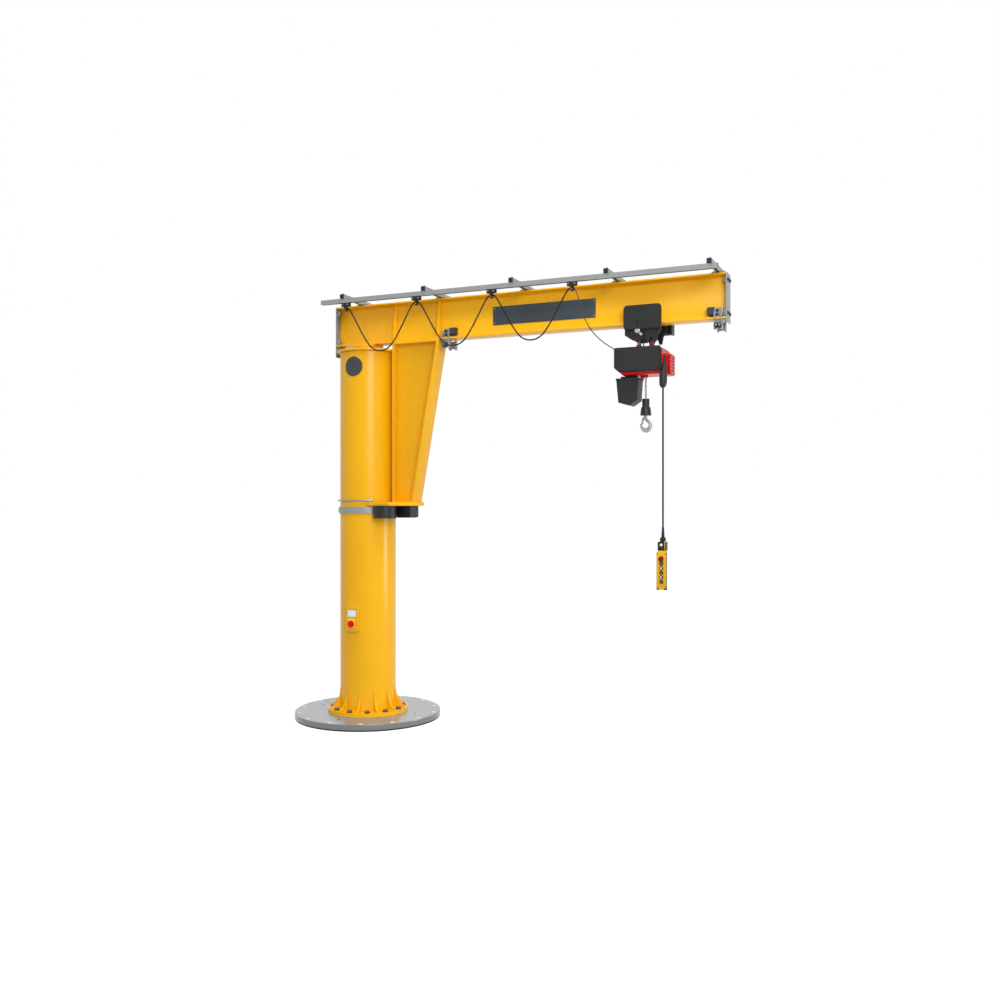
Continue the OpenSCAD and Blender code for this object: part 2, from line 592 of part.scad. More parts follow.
// four wheels on the lower flange, treads coned to its slope
module trolley_wheels() color(zinc) for (x = [-wheel_x, wheel_x], s = [-1, 1])
    translate([lift_x + x, 0, beam_z + flange_edge + seat + wheel_d / 2]) scale([1, s, 1])
        rotate([90, 0, 0]) translate([0, 0, -beam_w / 2]) {
            cylinder(d1 = wheel_d, d2 = wheel_d - 2 * taper * wheel_w, h = wheel_w);
            translate([0, 0, -plate_gap + seat]) cylinder(d = 26, h = plate_gap);
        }
// gearbox on the rear side cover, square finned motor along the arm with a flanged end
motor_y = tw + side_t + cover_t;
motor_s = 66;                   // side of the motor's body
motor_l = 121;                  // reach of the motor beyond its gearbox's middle
module trolley_motor() color(black) translate([lift_x + 30, motor_y + 46, beam_z - 14]) {
    translate([-70, 8, -38]) rotate([90, 0, 0]) linear_extrude(54) rrect(96, 92, 16);
    rotate([90, 0, 90]) {
        translate([-motor_s / 2, -motor_s / 2]) linear_extrude(motor_l) rrect(motor_s, motor_s, 14);
        translate([-39, -39, motor_l - 12]) linear_extrude(12) rrect(78, 78, 10);
        for (a = [0 : 90 : 270], i = [-2 : 2]) rotate([0, 0, a])
            translate([motor_s / 2 - 1, i * 10 - 1.5, 30]) cube([5, 3, motor_l - 36]);
    }
    box(30, 92, -26, 26, motor_s / 2 - 1, motor_s / 2 + 24);
}
// ---------- hoist ----------
// cast body with round lower edges, two ears, a slotted square fan cowl, a collar for
// the load chain and a spout for the slack chain
cowl_w = 130; cowl_h = 142; cowl_l = 41; cowl_y = -40;
cowl_z = hoist_z0 - 3;
module cowl_layer(x, l, inset) translate([hoist_x1 + x, cowl_y + inset, cowl_z + inset])
    rotate([90, 0, 90]) linear_extrude(l) rrect(cowl_w - 2 * inset, cowl_h - 2 * inset, 16 - inset);
module hoist_body() color(red) difference() {
    union() {
        intersection() {
            slab_y([[hoist_x0, hoist_z0 + 16], [hoist_x0 + 12, hoist_z0], [hoist_x1 - 12, hoist_z0],
                [hoist_x1, hoist_z0 + 16], [hoist_x1, hoist_z - 18], [hoist_x1 - 16, hoist_z - 2],
                [hoist_x0, hoist_z - 2]], hoist_y0, hoist_y1);
            translate([hoist_x0, hoist_y0, hoist_z0]) rotate([90, 0, 90])
                linear_extrude(hoist_x1 - hoist_x0) rrect(hoist_w, 2 * body_h, 26);
        }
        for (s = [-1, 1]) translate([lift_x + s * eye_x, 0, 0]) {
            eye_lobe(13, -eye_t / 2, eye_t / 2, ear_z, hoist_z - 4);
            box(min(0, s * 28), max(0, s * 28), -eye_t / 2, eye_t / 2, hoist_z - 4, ear_z);
        }
        cowl_layer(-1, cowl_l - 5, 0);
        cowl_layer(cowl_l - 7, 7, 5);
        translate([lift_x, 0, hoist_z0 - guide_h]) cylinder(d = 34, h = guide_h + 1);
        translate([lift_x - slack_x, 0, hoist_z0 - slack_h]) cylinder(d1 = 22, d2 = 27, h = slack_h + 1);
        // cooling ribs on the rear side
        for (i = [0 : 8]) box(hoist_x0 + 40 + i * 24, hoist_x0 + 45 + i * 24, hoist_y1 - 1,
            hoist_y1 + 8, hoist_z0 + 24, hoist_z - 26);
    }
    translate([lift_x, 0, hoist_z0 - guide_h - 1]) cylinder(d = chain_bore, h = socket_h + 1);
    translate([lift_x, 0, 0]) eye_bores(ear_z);
    // air slots across the cowl's end and both sides
    for (i = [0 : 4]) translate([hoist_x1 + cowl_l - 6, 0, cowl_z + 27 + i * 20])
        box(0, 8, cowl_y + 22, cowl_y + cowl_w - 22, 0, 7);
    for (i = [0 : 4], y = [cowl_y - 1, cowl_y + cowl_w - 5]) translate([hoist_x1 + 10, y, cowl_z + 27 + i * 20])
        cube([18, 6, 7]);
}
// moulded front cover with one chamfered corner, cable gland, plug of the pendant cable
module cover_plate(k, y, t) slab_y([[hoist_x1 - hoist_l + k, hoist_z - hoist_h + 28],
    [hoist_x1 - hoist_l + 32, hoist_z - hoist_h + k], [hoist_x1 - 6 - k, hoist_z - hoist_h + k],
    [hoist_x1 - k, hoist_z - hoist_h + 8 + k], [hoist_x1 - k, hoist_z - 20],
    [hoist_x1 - 12 - k, hoist_z - k], [hoist_x1 - hoist_l + 8 + k, hoist_z - k],
    [hoist_x1 - hoist_l + k, hoist_z - 8 - k]], y - t, y);
module hoist_cover() color(black) {
    cover_plate(0, hoist_y0 - seat, 19);
    cover_plate(5, hoist_y0 - seat - 18, 7);
    translate([gland_x, gland_y, gland_z]) rotate([0, 90, 0]) {
        cylinder(d = 24, h = hoist_x0 - gland_x - seat);
        cylinder(d = 32, h = 9, $fn = 6);
    }
    plug();
    // clip that holds the plug to the cover's side
    box(hoist_x1 - 6, pend_x + 6, pend_y - 5, pend_y + 5, plug_end + 134, plug_end + 158);
}
// soft plug that leans beside the hoist: offset, height above its end, radius
plug_rings = [[0, 0, 9], [0, 4, 16], [0, 18, 23], [1, 40, 26], [2, 88, 26], [4, 104, 23],
    [8.4, 120, 19.2], [11, 158, 12], [13, 215, 5]];
module plug(sides = 16) tube_skin([for (p = plug_rings, j = [0 : sides - 1])
    [pend_x + p[0] + p[2] * cos(j * 360 / sides), pend_y + p[2] * sin(j * 360 / sides), plug_end + p[1]]],
    len(plug_rings), sides);
// two links on each side of ears and lugs, with the pins that carry them
pin_y = eye_t / 2 + seat + link_t;
module hoist_pins() color(zinc) for (x = [-eye_x, eye_x]) translate([lift_x + x, 0, 0]) {
    for (s = [-1, 1]) scale([1, s, 1]) {
        eye_lobe(link_w / 2, eye_t / 2 + seat, pin_y, eye_z, ear_z);
        eye_lobe(link_w / 2, eye_t / 2 + seat, pin_y, ear_z, eye_z);
    }
    for (z = [eye_z, ear_z]) translate([0, 0, z]) rotate([90, 0, 0]) {
        cylinder(d = pin_d, h = 2 * pin_y + 10, center = true);
        for (s = [-1, 1]) translate([0, 0, s * (pin_y + 2)]) cylinder(d = 18, h = 5, center = true);
    }
}
// tapered bin with a V-shaped bottom and a rim
module chain_box() color(black) translate([lift_x, 0, hoist_z0 - seat]) difference() {
    union() {
        slab_y([[-170, -bin_gap - 1], [-170, 0], [-60, 0], [-60, -bin_gap - 1]], -22, 22);
        slab_y([[-192, -bin_gap - 14], [-192, -bin_gap], [-34, -bin_gap], [-34, -bin_gap - 14]], -62, 62);
        slab_y([[-190, -bin_gap - 13], [-36, -bin_gap - 13], [-45, -166], [-99, -200], [-176, -179]], -58, 58);
    }
    // pocket round the slack chain's spout
    translate([-slack_x, 0, -slack_h - 4]) cylinder(d = 30, h = slack_h);
}
module link() {
    r = chain_wire * 1.15; h = chain_pitch / 2 - r + chain_wire / 2;
    for (s = [-1, 1]) {
        translate([0, s * h, 0]) rotate([0, 0, s > 0 ? 0 : 180])
            rotate_extrude(angle = 180) translate([r, 0]) circle(d = chain_wire);
        translate([s * r, 0, 0]) rotate([90, 0, 0])
            cylinder(d = chain_wire, h = 2 * h, center = true);
    }
}
chain_z0 = block_top - socket_h + seat;
chain_z1 = hoist_z0 - guide_h + socket_h - seat;
link_l = chain_pitch + 2 * chain_wire;
module load_chain() color(zinc) {
    n = floor((chain_z1 - chain_z0 - link_l) / chain_pitch);
    for (i = [0 : n]) translate([lift_x, 0, chain_z0 + link_l / 2 + i * chain_pitch])
        rotate([0, 0, (i % 2) * 90]) rotate([90, 0, 0]) link();
}
module hook_block() color(black) translate([lift_x, 0, 0]) difference() {
    union() {
        translate([0, 0, block_top - 58]) cylinder(d = 49, h = 58);
        translate([0, 0, block_z0]) cylinder(d1 = 76, d2 = 63, h = 55);
    }
    translate([0, 0, block_z0 - 1]) cylinder(d = hook_d + 0.2, h = 41);
    translate([0, 0, block_top - socket_h]) cylinder(d = chain_bore, h = socket_h + 1);
}
// forged hook, all in the X-Z plane below the block: straight shank, neck, bowl that
// thickens towards its bottom, and a tapered tip on the -X side
bowl_z = -66;
bowl_r = 30;
tip_a = 194;
pin_z = -7;
shank_l = 18;
function bowl(a, r) = [r * cos(a), 0, bowl_z - r * sin(a)];
function flare(a) = bowl_r + 4 * max(0, a - 140) / (tip_a - 140);
function bar(a) = hook_d / 2 + (a < 100 ? 2.5 * (a + 40) / 140 : 2.5 - 6.5 * (a - 100) / (tip_a - 100));
hook_arc = [for (a = [-40 : 13 : tip_a]) a];
tip = bowl(tip_a, flare(tip_a));
hook_route = concat([[0, 0, 6 - shank_l], [0, 0, 2 - shank_l], [0.5, 0, -22], [5, 0, -30], [13, 0, -38]],
    [for (a = hook_arc) bowl(a, flare(a))], [tip + [1.2, 0, 3], tip + [1.8, 0, 4.6]]);
hook_half = concat([for (k = [-1, 0.7, 0.7, 0.6, 0.4]) hook_d / 2 + k], [for (a = hook_arc) bar(a)],
    [for (k = [0.75, 0.4]) k * bar(tip_a)]);
module forged_bar(route, half, sides = 12) {
    n = len(route);
    ring = [for (i = [0 : n - 1]) let (t = unit(route[min(i + 1, n - 1)] - route[max(i - 1, 0)]),
        v = cross(t, [0, 1, 0])) for (j = [0 : sides - 1])
            route[i] + min(half[i], hook_d / 2 + 0.7) * cos(j * 360 / sides) * [0, 1, 0]
            + half[i] * sin(j * 360 / sides) * v];
    tube_skin(ring, n, sides);
}
module hook() color(zinc) translate([lift_x, 0, block_z0]) difference() {
    union() {
        translate([0, 0, -shank_l]) cylinder(d = hook_d, h = shank_l + 36);
        forged_bar(hook_route, hook_half);
    }
    translate([0, 20, pin_z]) rotate([90, 0, 0]) cylinder(d = 6.1, h = 40);
}
// sheet-metal latch: two flanks on a pin through the shank, joined by a tongue at the tip
latch_y = hook_d / 2 + 1.3;
latch_x = flare(tip_a) * cos(tip_a) + bar(tip_a) + 0.5;
module hook_latch() color(zinc) translate([lift_x, 0, block_z0]) {
    translate([0, latch_y + 2, pin_z]) rotate([90, 0, 0]) cylinder(d = 6, h = 2 * latch_y + 4);
    for (y = [-latch_y - 2, latch_y])
        slab_y([[5, pin_z - 3], [3, pin_z + 4], [-6, pin_z + 4], [-22, -17], [latch_x, -36], [latch_x, -61],
            [latch_x + 5, -61], [latch_x + 6, -39], [-14, -25], [-2, -13.5]], y, y + 2);
    box(latch_x, latch_x + 2.5, -latch_y - 1, latch_y + 1, -61, -34);
}

// ---------- pendant ----------
pend_top = 1399; pend_bot = 1059;
pend_body = 246;                // height of the pendant's body below its shoulder
pend_face = 42;                 // front face in front of the cable's axis
relief_l = 70;                  // strain relief above the pendant
module pendant_cable() color(black) {
    top = plug_end - seat;
    cord([for (i = [0 : 36]) [pend_x, pend_y, top - i * (top - pend_top - relief_l) / 36]],
        pendant_cable_d);
    translate([pend_x, pend_y, pend_top]) cylinder(d1 = 24, d2 = 15, h = relief_l + 0.1);
}
// two-shell body, narrower at the back, under a head with the cable's gland
module pendant() color(yellow) translate([pend_x, pend_y, 0]) {
    translate([0, 0, pend_bot]) linear_extrude(pend_body) polygon([[-30, -pend_face], [30, -pend_face],
        [34, 4 - pend_face], [34, 14 - pend_face], [24, 6], [-24, 6], [-34, 14 - pend_face],
        [-34, 4 - pend_face]]);
    translate([0, 0, pend_bot + pend_body - 1]) linear_extrude(12) polygon([[-25, 4 - pend_face],
        [25, 4 - pend_face], [28, 12 - pend_face], [20, 3], [-20, 3], [-28, 12 - pend_face]]);
    box(-27, 27, -30, 16, pend_bot + pend_body + 10, pend_top - 28);
    translate([0, 0, pend_top - 29]) cylinder(d = 40, h = 29 - seat);
}
// red stop button above five travel buttons
module pendant_buttons() color(black) for (i = [0 : 5])
    translate([pend_x, pend_y - pend_face - seat, pend_bot + 52 + i * 30]) rotate([90, 0, 0])
        if (i == 5) {
            cylinder(d = 24, h = 7);
            translate([0, 0, 6]) cylinder(d1 = 32, d2 = 36, h = 8);
        } else {
            cylinder(d = 26, h = 5);
            translate([0, 0, 4]) cylinder(d = 20, h = 5);
        }

floor_pad();
base_plate();
pillar_foot();
pillar_tube();
pillar_cap();
access_plug();
isolator_box();
isolator_knob();
track_band();
jib_beam();
bracket();
foot_plate();
roller_housing();
guide_rollers();
tie_rod();
end_plates();
sign_plate();
end_stops();
stop_buffers();
festoon_rail();
festoon_arms();
arm_caps();
end_clamp();
carrier_1();
carrier_2();
carrier_3();
festoon_cable_1();
festoon_cable_2();
festoon_cable_3();
festoon_cable_4();
trolley_frame();
trolley_covers();
trolley_wheels();
trolley_motor();
hoist_body();
hoist_cover();
hoist_pins();
chain_box();
load_chain();
hook_block();
hook();
hook_latch();
pendant_cable();
pendant();
pendant_buttons();
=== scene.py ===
"""Visual model of a pillar-mounted jib crane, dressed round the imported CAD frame.

Every length is in metres. Each sub-assembly is a class that builds its own pieces with
bmesh operators and gives every CAD node that stays in view its finish.
"""
from __future__ import annotations

import json
import logging
import math
from dataclasses import dataclass
from enum import Enum
from typing import Iterable, Sequence

import bmesh
import bpy
from mathutils import Matrix, Vector

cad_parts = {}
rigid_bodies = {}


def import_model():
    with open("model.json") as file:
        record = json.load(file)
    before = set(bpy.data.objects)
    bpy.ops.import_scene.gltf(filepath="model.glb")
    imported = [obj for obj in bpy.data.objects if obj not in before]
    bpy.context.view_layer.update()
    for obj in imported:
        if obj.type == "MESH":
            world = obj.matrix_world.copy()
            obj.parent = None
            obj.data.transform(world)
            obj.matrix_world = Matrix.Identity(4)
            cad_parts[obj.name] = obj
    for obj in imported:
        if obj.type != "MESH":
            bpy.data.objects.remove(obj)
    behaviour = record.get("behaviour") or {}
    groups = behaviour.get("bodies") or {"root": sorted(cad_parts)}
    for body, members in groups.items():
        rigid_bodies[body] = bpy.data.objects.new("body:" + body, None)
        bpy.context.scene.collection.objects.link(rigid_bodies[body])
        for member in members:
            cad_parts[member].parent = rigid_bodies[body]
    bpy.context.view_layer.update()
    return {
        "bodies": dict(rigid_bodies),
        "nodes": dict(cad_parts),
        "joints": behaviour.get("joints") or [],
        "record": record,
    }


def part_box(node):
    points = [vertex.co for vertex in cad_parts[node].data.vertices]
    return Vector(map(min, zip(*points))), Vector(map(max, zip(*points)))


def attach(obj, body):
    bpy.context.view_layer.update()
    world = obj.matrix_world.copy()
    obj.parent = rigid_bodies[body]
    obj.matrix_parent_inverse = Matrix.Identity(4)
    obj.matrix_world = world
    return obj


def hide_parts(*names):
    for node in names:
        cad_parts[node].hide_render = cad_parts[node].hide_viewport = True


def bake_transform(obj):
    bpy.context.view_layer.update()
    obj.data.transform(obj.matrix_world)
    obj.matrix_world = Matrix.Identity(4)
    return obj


LOG = logging.getLogger("crane")
MM = 0.001
Point = tuple[float, float, float]


class Axis(Enum):
    """Direction that a round piece stands along."""

    X = "x"
    Y = "y"
    Z = "z"

    def turn(self, sign: int = 1) -> Matrix:
        """Turns +Z onto this axis.

        Args:
            sign: 1 for the axis itself, -1 for its far side.

        Returns:
            The rotation.
        """
        if self is Axis.X:
            return Matrix.Rotation(sign * math.pi / 2, 4, "Y")
        if self is Axis.Y:
            return Matrix.Rotation(-sign * math.pi / 2, 4, "X")
        return Matrix.Rotation(0 if sign > 0 else math.pi, 4, "X")


# ---------------------------------------------------------------------------
# Finishes
# ---------------------------------------------------------------------------
def linear(code: str) -> tuple[float, float, float, float]:
    """Turns an sRGB hex colour into linear values.

    Args:
        code: Six hex digits, such as "E6AA20".

    Returns:
        Red, green, blue and an alpha of 1.
    """
    parts = [int(code[i:i + 2], 16) / 255 for i in (0, 2, 4)]
    r, g, b = (c / 12.92 if c <= 0.04045 else ((c + 0.055) / 1.055) ** 2.4 for c in parts)
    return (r, g, b, 1.0)


def add_node(tree: bpy.types.NodeTree, kind: str, inputs: dict | None = None,
             **settings: object) -> bpy.types.Node:
    """Adds one node with its settings and links.

    Args:
        tree: Node tree that takes the node.
        kind: Type name of the node.
        inputs: Input name or number to a value, or to the socket that feeds it.
        settings: Properties of the node itself.

    Returns:
        The new node.
    """
    node = tree.nodes.new(kind)
    for key, value in settings.items():
        setattr(node, key, value)
    for key, value in (inputs or {}).items():
        if isinstance(value, bpy.types.NodeSocket):
            tree.links.new(value, node.inputs[key])
        else:
            node.inputs[key].default_value = value
    return node


@dataclass(frozen=True)
class Finish:
    """A surface with a slow drift of its colour, a fine grain and uneven gloss.

    The lengths are real ones in millimetres. A grain that is too fine to show is drawn
    coarser, as each finish says.
    """

    name: str
    colour: str
    shade: str
    rough: float = 0.45
    metal: float = 0.0
    drift_mm: float = 140.0
    grain_mm: float = 3.0
    grain_depth_mm: float = 0.05
    gloss_swing: float = 0.06
    coat: float = 0.0
    specular: float = 0.5

    def colour_node(self, tree: bpy.types.NodeTree, place: bpy.types.NodeSocket) -> bpy.types.NodeSocket:
        """Lets the colour drift slowly over the surface.

        Args:
            tree: The material's node tree.
            place: Object coordinates.

        Returns:
            The colour socket.
        """
        cloud = add_node(tree, "ShaderNodeTexNoise", {"Vector": place, "Scale": 1000 / self.drift_mm,
                                                      "Detail": 4.0, "Roughness": 0.55})
        spread = add_node(tree, "ShaderNodeMapRange", {"Value": cloud.outputs["Fac"], "From Min": 0.3,
                                                       "From Max": 0.7})
        mix = add_node(tree, "ShaderNodeMix", {"Factor": spread.outputs["Result"],
                                               "A": linear(self.shade), "B": linear(self.colour)},
                       data_type="RGBA")
        return self.mix_out(mix)

    @staticmethod
    def mix_out(mix: bpy.types.Node) -> bpy.types.NodeSocket:
        """Returns the colour output of a Mix node."""
        return next(s for s in mix.outputs if s.type == "RGBA")

    def height_node(self, tree: bpy.types.NodeTree, place: bpy.types.NodeSocket) -> bpy.types.NodeSocket:
        """Draws the grain's height.

        Args:
            tree: The material's node tree.
            place: Object coordinates.

        Returns:
            The height socket.
        """
        return add_node(tree, "ShaderNodeTexNoise", {"Vector": place, "Scale": 1000 / self.grain_mm,
                                                     "Detail": 2.0}).outputs["Fac"]

    def build(self) -> bpy.types.Material:
        """Makes the material, once for each name.

        Returns:
            The material.
        """
        ready = bpy.data.materials.get(self.name)
        if ready:
            return ready
        material = bpy.data.materials.new(self.name)
        material.use_nodes = True
        tree = material.node_tree
        tree.nodes.clear()
        place = add_node(tree, "ShaderNodeTexCoord").outputs["Object"]
        gloss = add_node(tree, "ShaderNodeTexNoise", {"Vector": place, "Scale": 1000 / (self.grain_mm * 9),
                                                      "Detail": 3.0})
        rough = add_node(tree, "ShaderNodeMapRange", {
            "Value": gloss.outputs["Fac"], "From Min": 0.3, "From Max": 0.7,
            "To Min": self.rough - self.gloss_swing, "To Max": self.rough + self.gloss_swing})
        bump = add_node(tree, "ShaderNodeBump", {"Height": self.height_node(tree, place), "Strength": 1.0,
                                                 "Distance": self.grain_depth_mm * MM})
        shader = add_node(tree, "ShaderNodeBsdfPrincipled", {
            "Base Color": self.colour_node(tree, place), "Roughness": rough.outputs["Result"],
            "Normal": bump.outputs["Normal"], "Metallic": self.metal, "Coat Weight": self.coat,
            "Coat Roughness": 0.15, "Specular IOR Level": self.specular})
        add_node(tree, "ShaderNodeOutputMaterial", {"Surface": shader.outputs["BSDF"]})
        material.diffuse_color = linear(self.colour)
        return material


@dataclass(frozen=True)
class Galvanised(Finish):
    """Hot-dip galvanised steel: flat crystals of zinc, each with a grey of its own."""

    crystal_mm: float = 14.0

    def colour_node(self, tree: bpy.types.NodeTree, place: bpy.types.NodeSocket) -> bpy.types.NodeSocket:
        """Mixes the colour of the crystals with a slow drift of the grey.

        Args:
            tree: The material's node tree.
            place: Object coordinates.

        Returns:
            The colour socket.
        """
        crystals = add_node(tree, "ShaderNodeTexVoronoi", {"Vector": place, "Scale": 1000 / self.crystal_mm})
        value = add_node(tree, "ShaderNodeRGBToBW", {"Color": crystals.outputs["Color"]})
        cloud = add_node(tree, "ShaderNodeTexNoise", {"Vector": place, "Scale": 1000 / self.drift_mm,
                                                      "Detail": 3.0})
        both = add_node(tree, "ShaderNodeMath", {0: value.outputs["Val"], 1: cloud.outputs["Fac"]},
                        operation="MULTIPLY")
        spread = add_node(tree, "ShaderNodeMapRange", {"Value": both.outputs["Value"], "From Min": 0.0,
                                                       "From Max": 0.55})
        mix = add_node(tree, "ShaderNodeMix", {"Factor": spread.outputs["Result"],
                                               "A": linear(self.shade), "B": linear(self.colour)},
                       data_type="RGBA")
        return self.mix_out(mix)


@dataclass(frozen=True)
class ShadedRimPlate(Galvanised):
    """Galvanised plate whose side, below the top face, is painted a darker grey as shade."""

    # Painted shade: the darker grey given to the plate's side.
    rim: str = "777A7A"
    shaded_rim_top: float = 0.0489

    def colour_node(self, tree: bpy.types.NodeTree, place: bpy.types.NodeSocket) -> bpy.types.NodeSocket:
        """Gives the face its colour, and what lies below it the darker grey of painted shade.

        Args:
            tree: The material's node tree.
            place: Object coordinates.

        Returns:
            The colour socket.
        """
        face = Galvanised.colour_node(self, tree, place)
        # Painted shade: below the top face the plate takes the darker grey.
        split = add_node(tree, "ShaderNodeSeparateXYZ", {"Vector": place})
        below = add_node(tree, "ShaderNodeMath", {0: split.outputs["Z"], 1: self.shaded_rim_top},
                         operation="LESS_THAN")
        mix = add_node(tree, "ShaderNodeMix", {"Factor": below.outputs["Value"], "A": face,
                                               "B": linear(self.rim)}, data_type="RGBA")
        return self.mix_out(mix)


@dataclass(frozen=True)
class TwoToneShadedSide(Finish):
    """Moulded shells, yellow in front with a dark head above a height; past a depth and past one side the
    dark is painted shade of the side faces.
    """

    head_and_shade_colour: str = "1A1A1C"
    part_z: float = 1.3145
    # Painted shade: behind this depth and past this side the shells are drawn dark, like side faces in shade.
    shade_behind_y: float = -0.149
    shade_beside_x: float = 2.3598

    def colour_node(self, tree: bpy.types.NodeTree, place: bpy.types.NodeSocket) -> bpy.types.NodeSocket:
        """Gives the front shell its colour, the head above it the dark colour, and what lies behind and
        beside it the same dark as painted shade.

        Args:
            tree: The material's node tree.
            place: Object coordinates.

        Returns:
            The colour socket.
        """
        main = Finish.colour_node(self, tree, place)
        split = add_node(tree, "ShaderNodeSeparateXYZ", {"Vector": place})
        above = add_node(tree, "ShaderNodeMath", {0: split.outputs["Z"], 1: self.part_z},
                         operation="GREATER_THAN")
        # Painted shade: the dark behind the front face and past the right side.
        behind = add_node(tree, "ShaderNodeMath", {0: split.outputs["Y"], 1: self.shade_behind_y},
                          operation="GREATER_THAN")
        beside = add_node(tree, "ShaderNodeMath", {0: split.outputs["X"], 1: self.shade_beside_x},
                          operation="GREATER_THAN")
        either = add_node(tree, "ShaderNodeMath", {0: above.outputs["Value"], 1: behind.outputs["Value"]},
                          operation="MAXIMUM")
        every = add_node(tree, "ShaderNodeMath", {0: either.outputs["Value"], 1: beside.outputs["Value"]},
                         operation="MAXIMUM")
        mix = add_node(tree, "ShaderNodeMix", {"Factor": every.outputs["Value"], "A": main,
                                               "B": linear(self.head_and_shade_colour)}, data_type="RGBA")
        return self.mix_out(mix)


# Polyester powder coat on shot-blasted steel. The eye gets an even golden yellow with a
# soft sheen and a faint orange peel, here 4 mm wide instead of 1 mm so that it shows.
POWDER_YELLOW = Finish("golden_powder_coat", "F4B60C", "EFB008", rough=0.27, drift_mm=420,
                       grain_mm=4.0, grain_depth_mm=0.01, gloss_swing=0.02, specular=0.24)
# The same coat over weld beads: it follows their ripples, drawn 6 mm long, and looks duller.
POWDER_WELD = Finish("powder_coat_on_weld", "EFAF0C", "E2A208", rough=0.4, drift_mm=60,
                     grain_mm=6.0, grain_depth_mm=0.5, specular=0.22)
# Hot-dip galvanised plate: dull grey with faint crystals 14 mm across.
ZINC_PLATE = Galvanised("galvanised_steel", "949798", "8C8F90", rough=0.34, metal=0.3, drift_mm=260,
                        grain_mm=2.5, grain_depth_mm=0.02, gloss_swing=0.04, specular=0.4)
# The anchor plate: smoother zinc that mirrors the foot a little, its side painted a darker grey as shade.
ANCHOR_PLATE = ShadedRimPlate("galvanised_anchor_plate_shaded_rim", "9EA1A2", "969A9B", rough=0.24, metal=0.42,
                           drift_mm=260, grain_mm=3.0, grain_depth_mm=0.01, gloss_swing=0.03, specular=0.4)
# Cold-rolled galvanised strip of rail, cross-arms and track band: duller, with crystals 8 mm across.
ZINC_STRIP = Galvanised("galvanised_strip", "999C9D", "8F9293", rough=0.38, metal=0.3, drift_mm=200,
                        grain_mm=2.0, grain_depth_mm=0.02, gloss_swing=0.04, specular=0.4, crystal_mm=8.0)
# Zinc-plated bolts, rivets, pins and tie rod: more metallic than the plate.
ZINC_BOLT = Finish("zinc_plated_bolt", "97999B", "85888A", rough=0.34, metal=0.55, drift_mm=30,
                   grain_mm=1.5, grain_depth_mm=0.02)
# Ground and bright-plated pin of the trolley.
BRIGHT_PIN = Finish("bright_plated_pin", "BFC0C1", "ABADAE", rough=0.28, metal=0.6, drift_mm=20,
                    grain_mm=1.2, grain_depth_mm=0.01)
# Foot bolts with the dull film that they get in service.
FOOT_BOLT = Finish("dull_bolt", "6C6D6C", "5C5D5C", rough=0.4, metal=0.4, drift_mm=30,
                   grain_mm=1.5, grain_depth_mm=0.02)
# White linings of the anchor holes: painted light in place of the bright floor seen through them.
PAINTED_HOLE_LIGHT = Finish("anchor_hole_painted_light", "F4F4F2", "ECECEA", rough=0.5, drift_mm=20, grain_mm=1.5,
                grain_depth_mm=0.01)
# Blackened steel of nuts, bolts, washers, screws and motor trim: dark grey.
DARK_NUT = Finish("blackened_steel", "303134", "242528", rough=0.42, metal=0.5, drift_mm=20,
                  grain_mm=1.5, grain_depth_mm=0.02)
# Machined steel of wheels and rollers: bright and strongly metallic.
WHEEL_STEEL = Finish("machined_steel", "9A9C9F", "85878A", rough=0.3, metal=0.9, drift_mm=25,
                     grain_mm=1.2, grain_depth_mm=0.02)
# Forged hook, shot-blasted and zinc-plated: light satin grey.
FORGED = Finish("forged_zinc_plated", "A7A8A8", "949696", rough=0.42, metal=0.45, drift_mm=28,
                grain_mm=2.2, grain_depth_mm=0.08)
# Case-hardened load chain, zinc-plated.
CHAIN = Finish("hardened_chain", "8D8F92", "77797C", rough=0.34, metal=0.7, drift_mm=12,
               grain_mm=1.0, grain_depth_mm=0.02)
# Satin black enamel on welded and machined steel.
BLACK_ENAMEL = Finish("satin_black_enamel", "18181A", "131315", rough=0.42, drift_mm=90,
                      grain_mm=3.0, grain_depth_mm=0.03, specular=0.34)
# ABS covers, moulded with a fine spark-eroded grain, drawn 2 mm wide.
BLACK_ABS = Finish("moulded_black_abs", "1B1C1C", "161718", rough=0.5, drift_mm=70,
                   grain_mm=2.0, grain_depth_mm=0.03, specular=0.34)
# Glass-filled nylon of clamps, caps, bumpers and bezels, and the dark panels of painted shade in the cowl's
# slots.
NYLON = Finish("black_nylon", "18181A", "131316", rough=0.55, drift_mm=20, grain_mm=1.6,
               grain_depth_mm=0.03, specular=0.34)
# Chloroprene cable jacket: soft and black; the last length of the festoon is dark grey.
JACKET = Finish("cable_jacket_black", "101011", "0B0B0C", rough=0.55, drift_mm=40, grain_mm=2.5,
                grain_depth_mm=0.003, specular=0.25)
JACKET_GREY = Finish("cable_jacket_grey", "3B3C3F", "303134", rough=0.55, drift_mm=40, grain_mm=1.2,
                     grain_depth_mm=0.05)
# Moulded rubber of the buffers, dull dark grey, and the cut sheet of the bearing pad, near black.
RUBBER = Finish("moulded_rubber", "35363A", "2A2B2E", rough=0.68, drift_mm=30, grain_mm=2.5,
                grain_depth_mm=0.1)
PAD_RUBBER = Finish("bearing_pad", "141414", "0E0E0E", rough=0.8, drift_mm=60, grain_mm=3.0,
                    grain_depth_mm=0.15)
# Gloss red stove enamel on die-cast aluminium: bright film over a lightly pebbled skin.
CAST_RED = Finish("red_enamel_on_casting", "D40C12", "BC080D", rough=0.3, drift_mm=60, grain_mm=5.0,
                  grain_depth_mm=0.03, specular=0.2)
# Rigid PVC of the access plug.
PLUG_GREY = Finish("plug_pvc", "38393C", "2E2F32", rough=0.55, drift_mm=50, grain_mm=2.0,
                   grain_depth_mm=0.05)
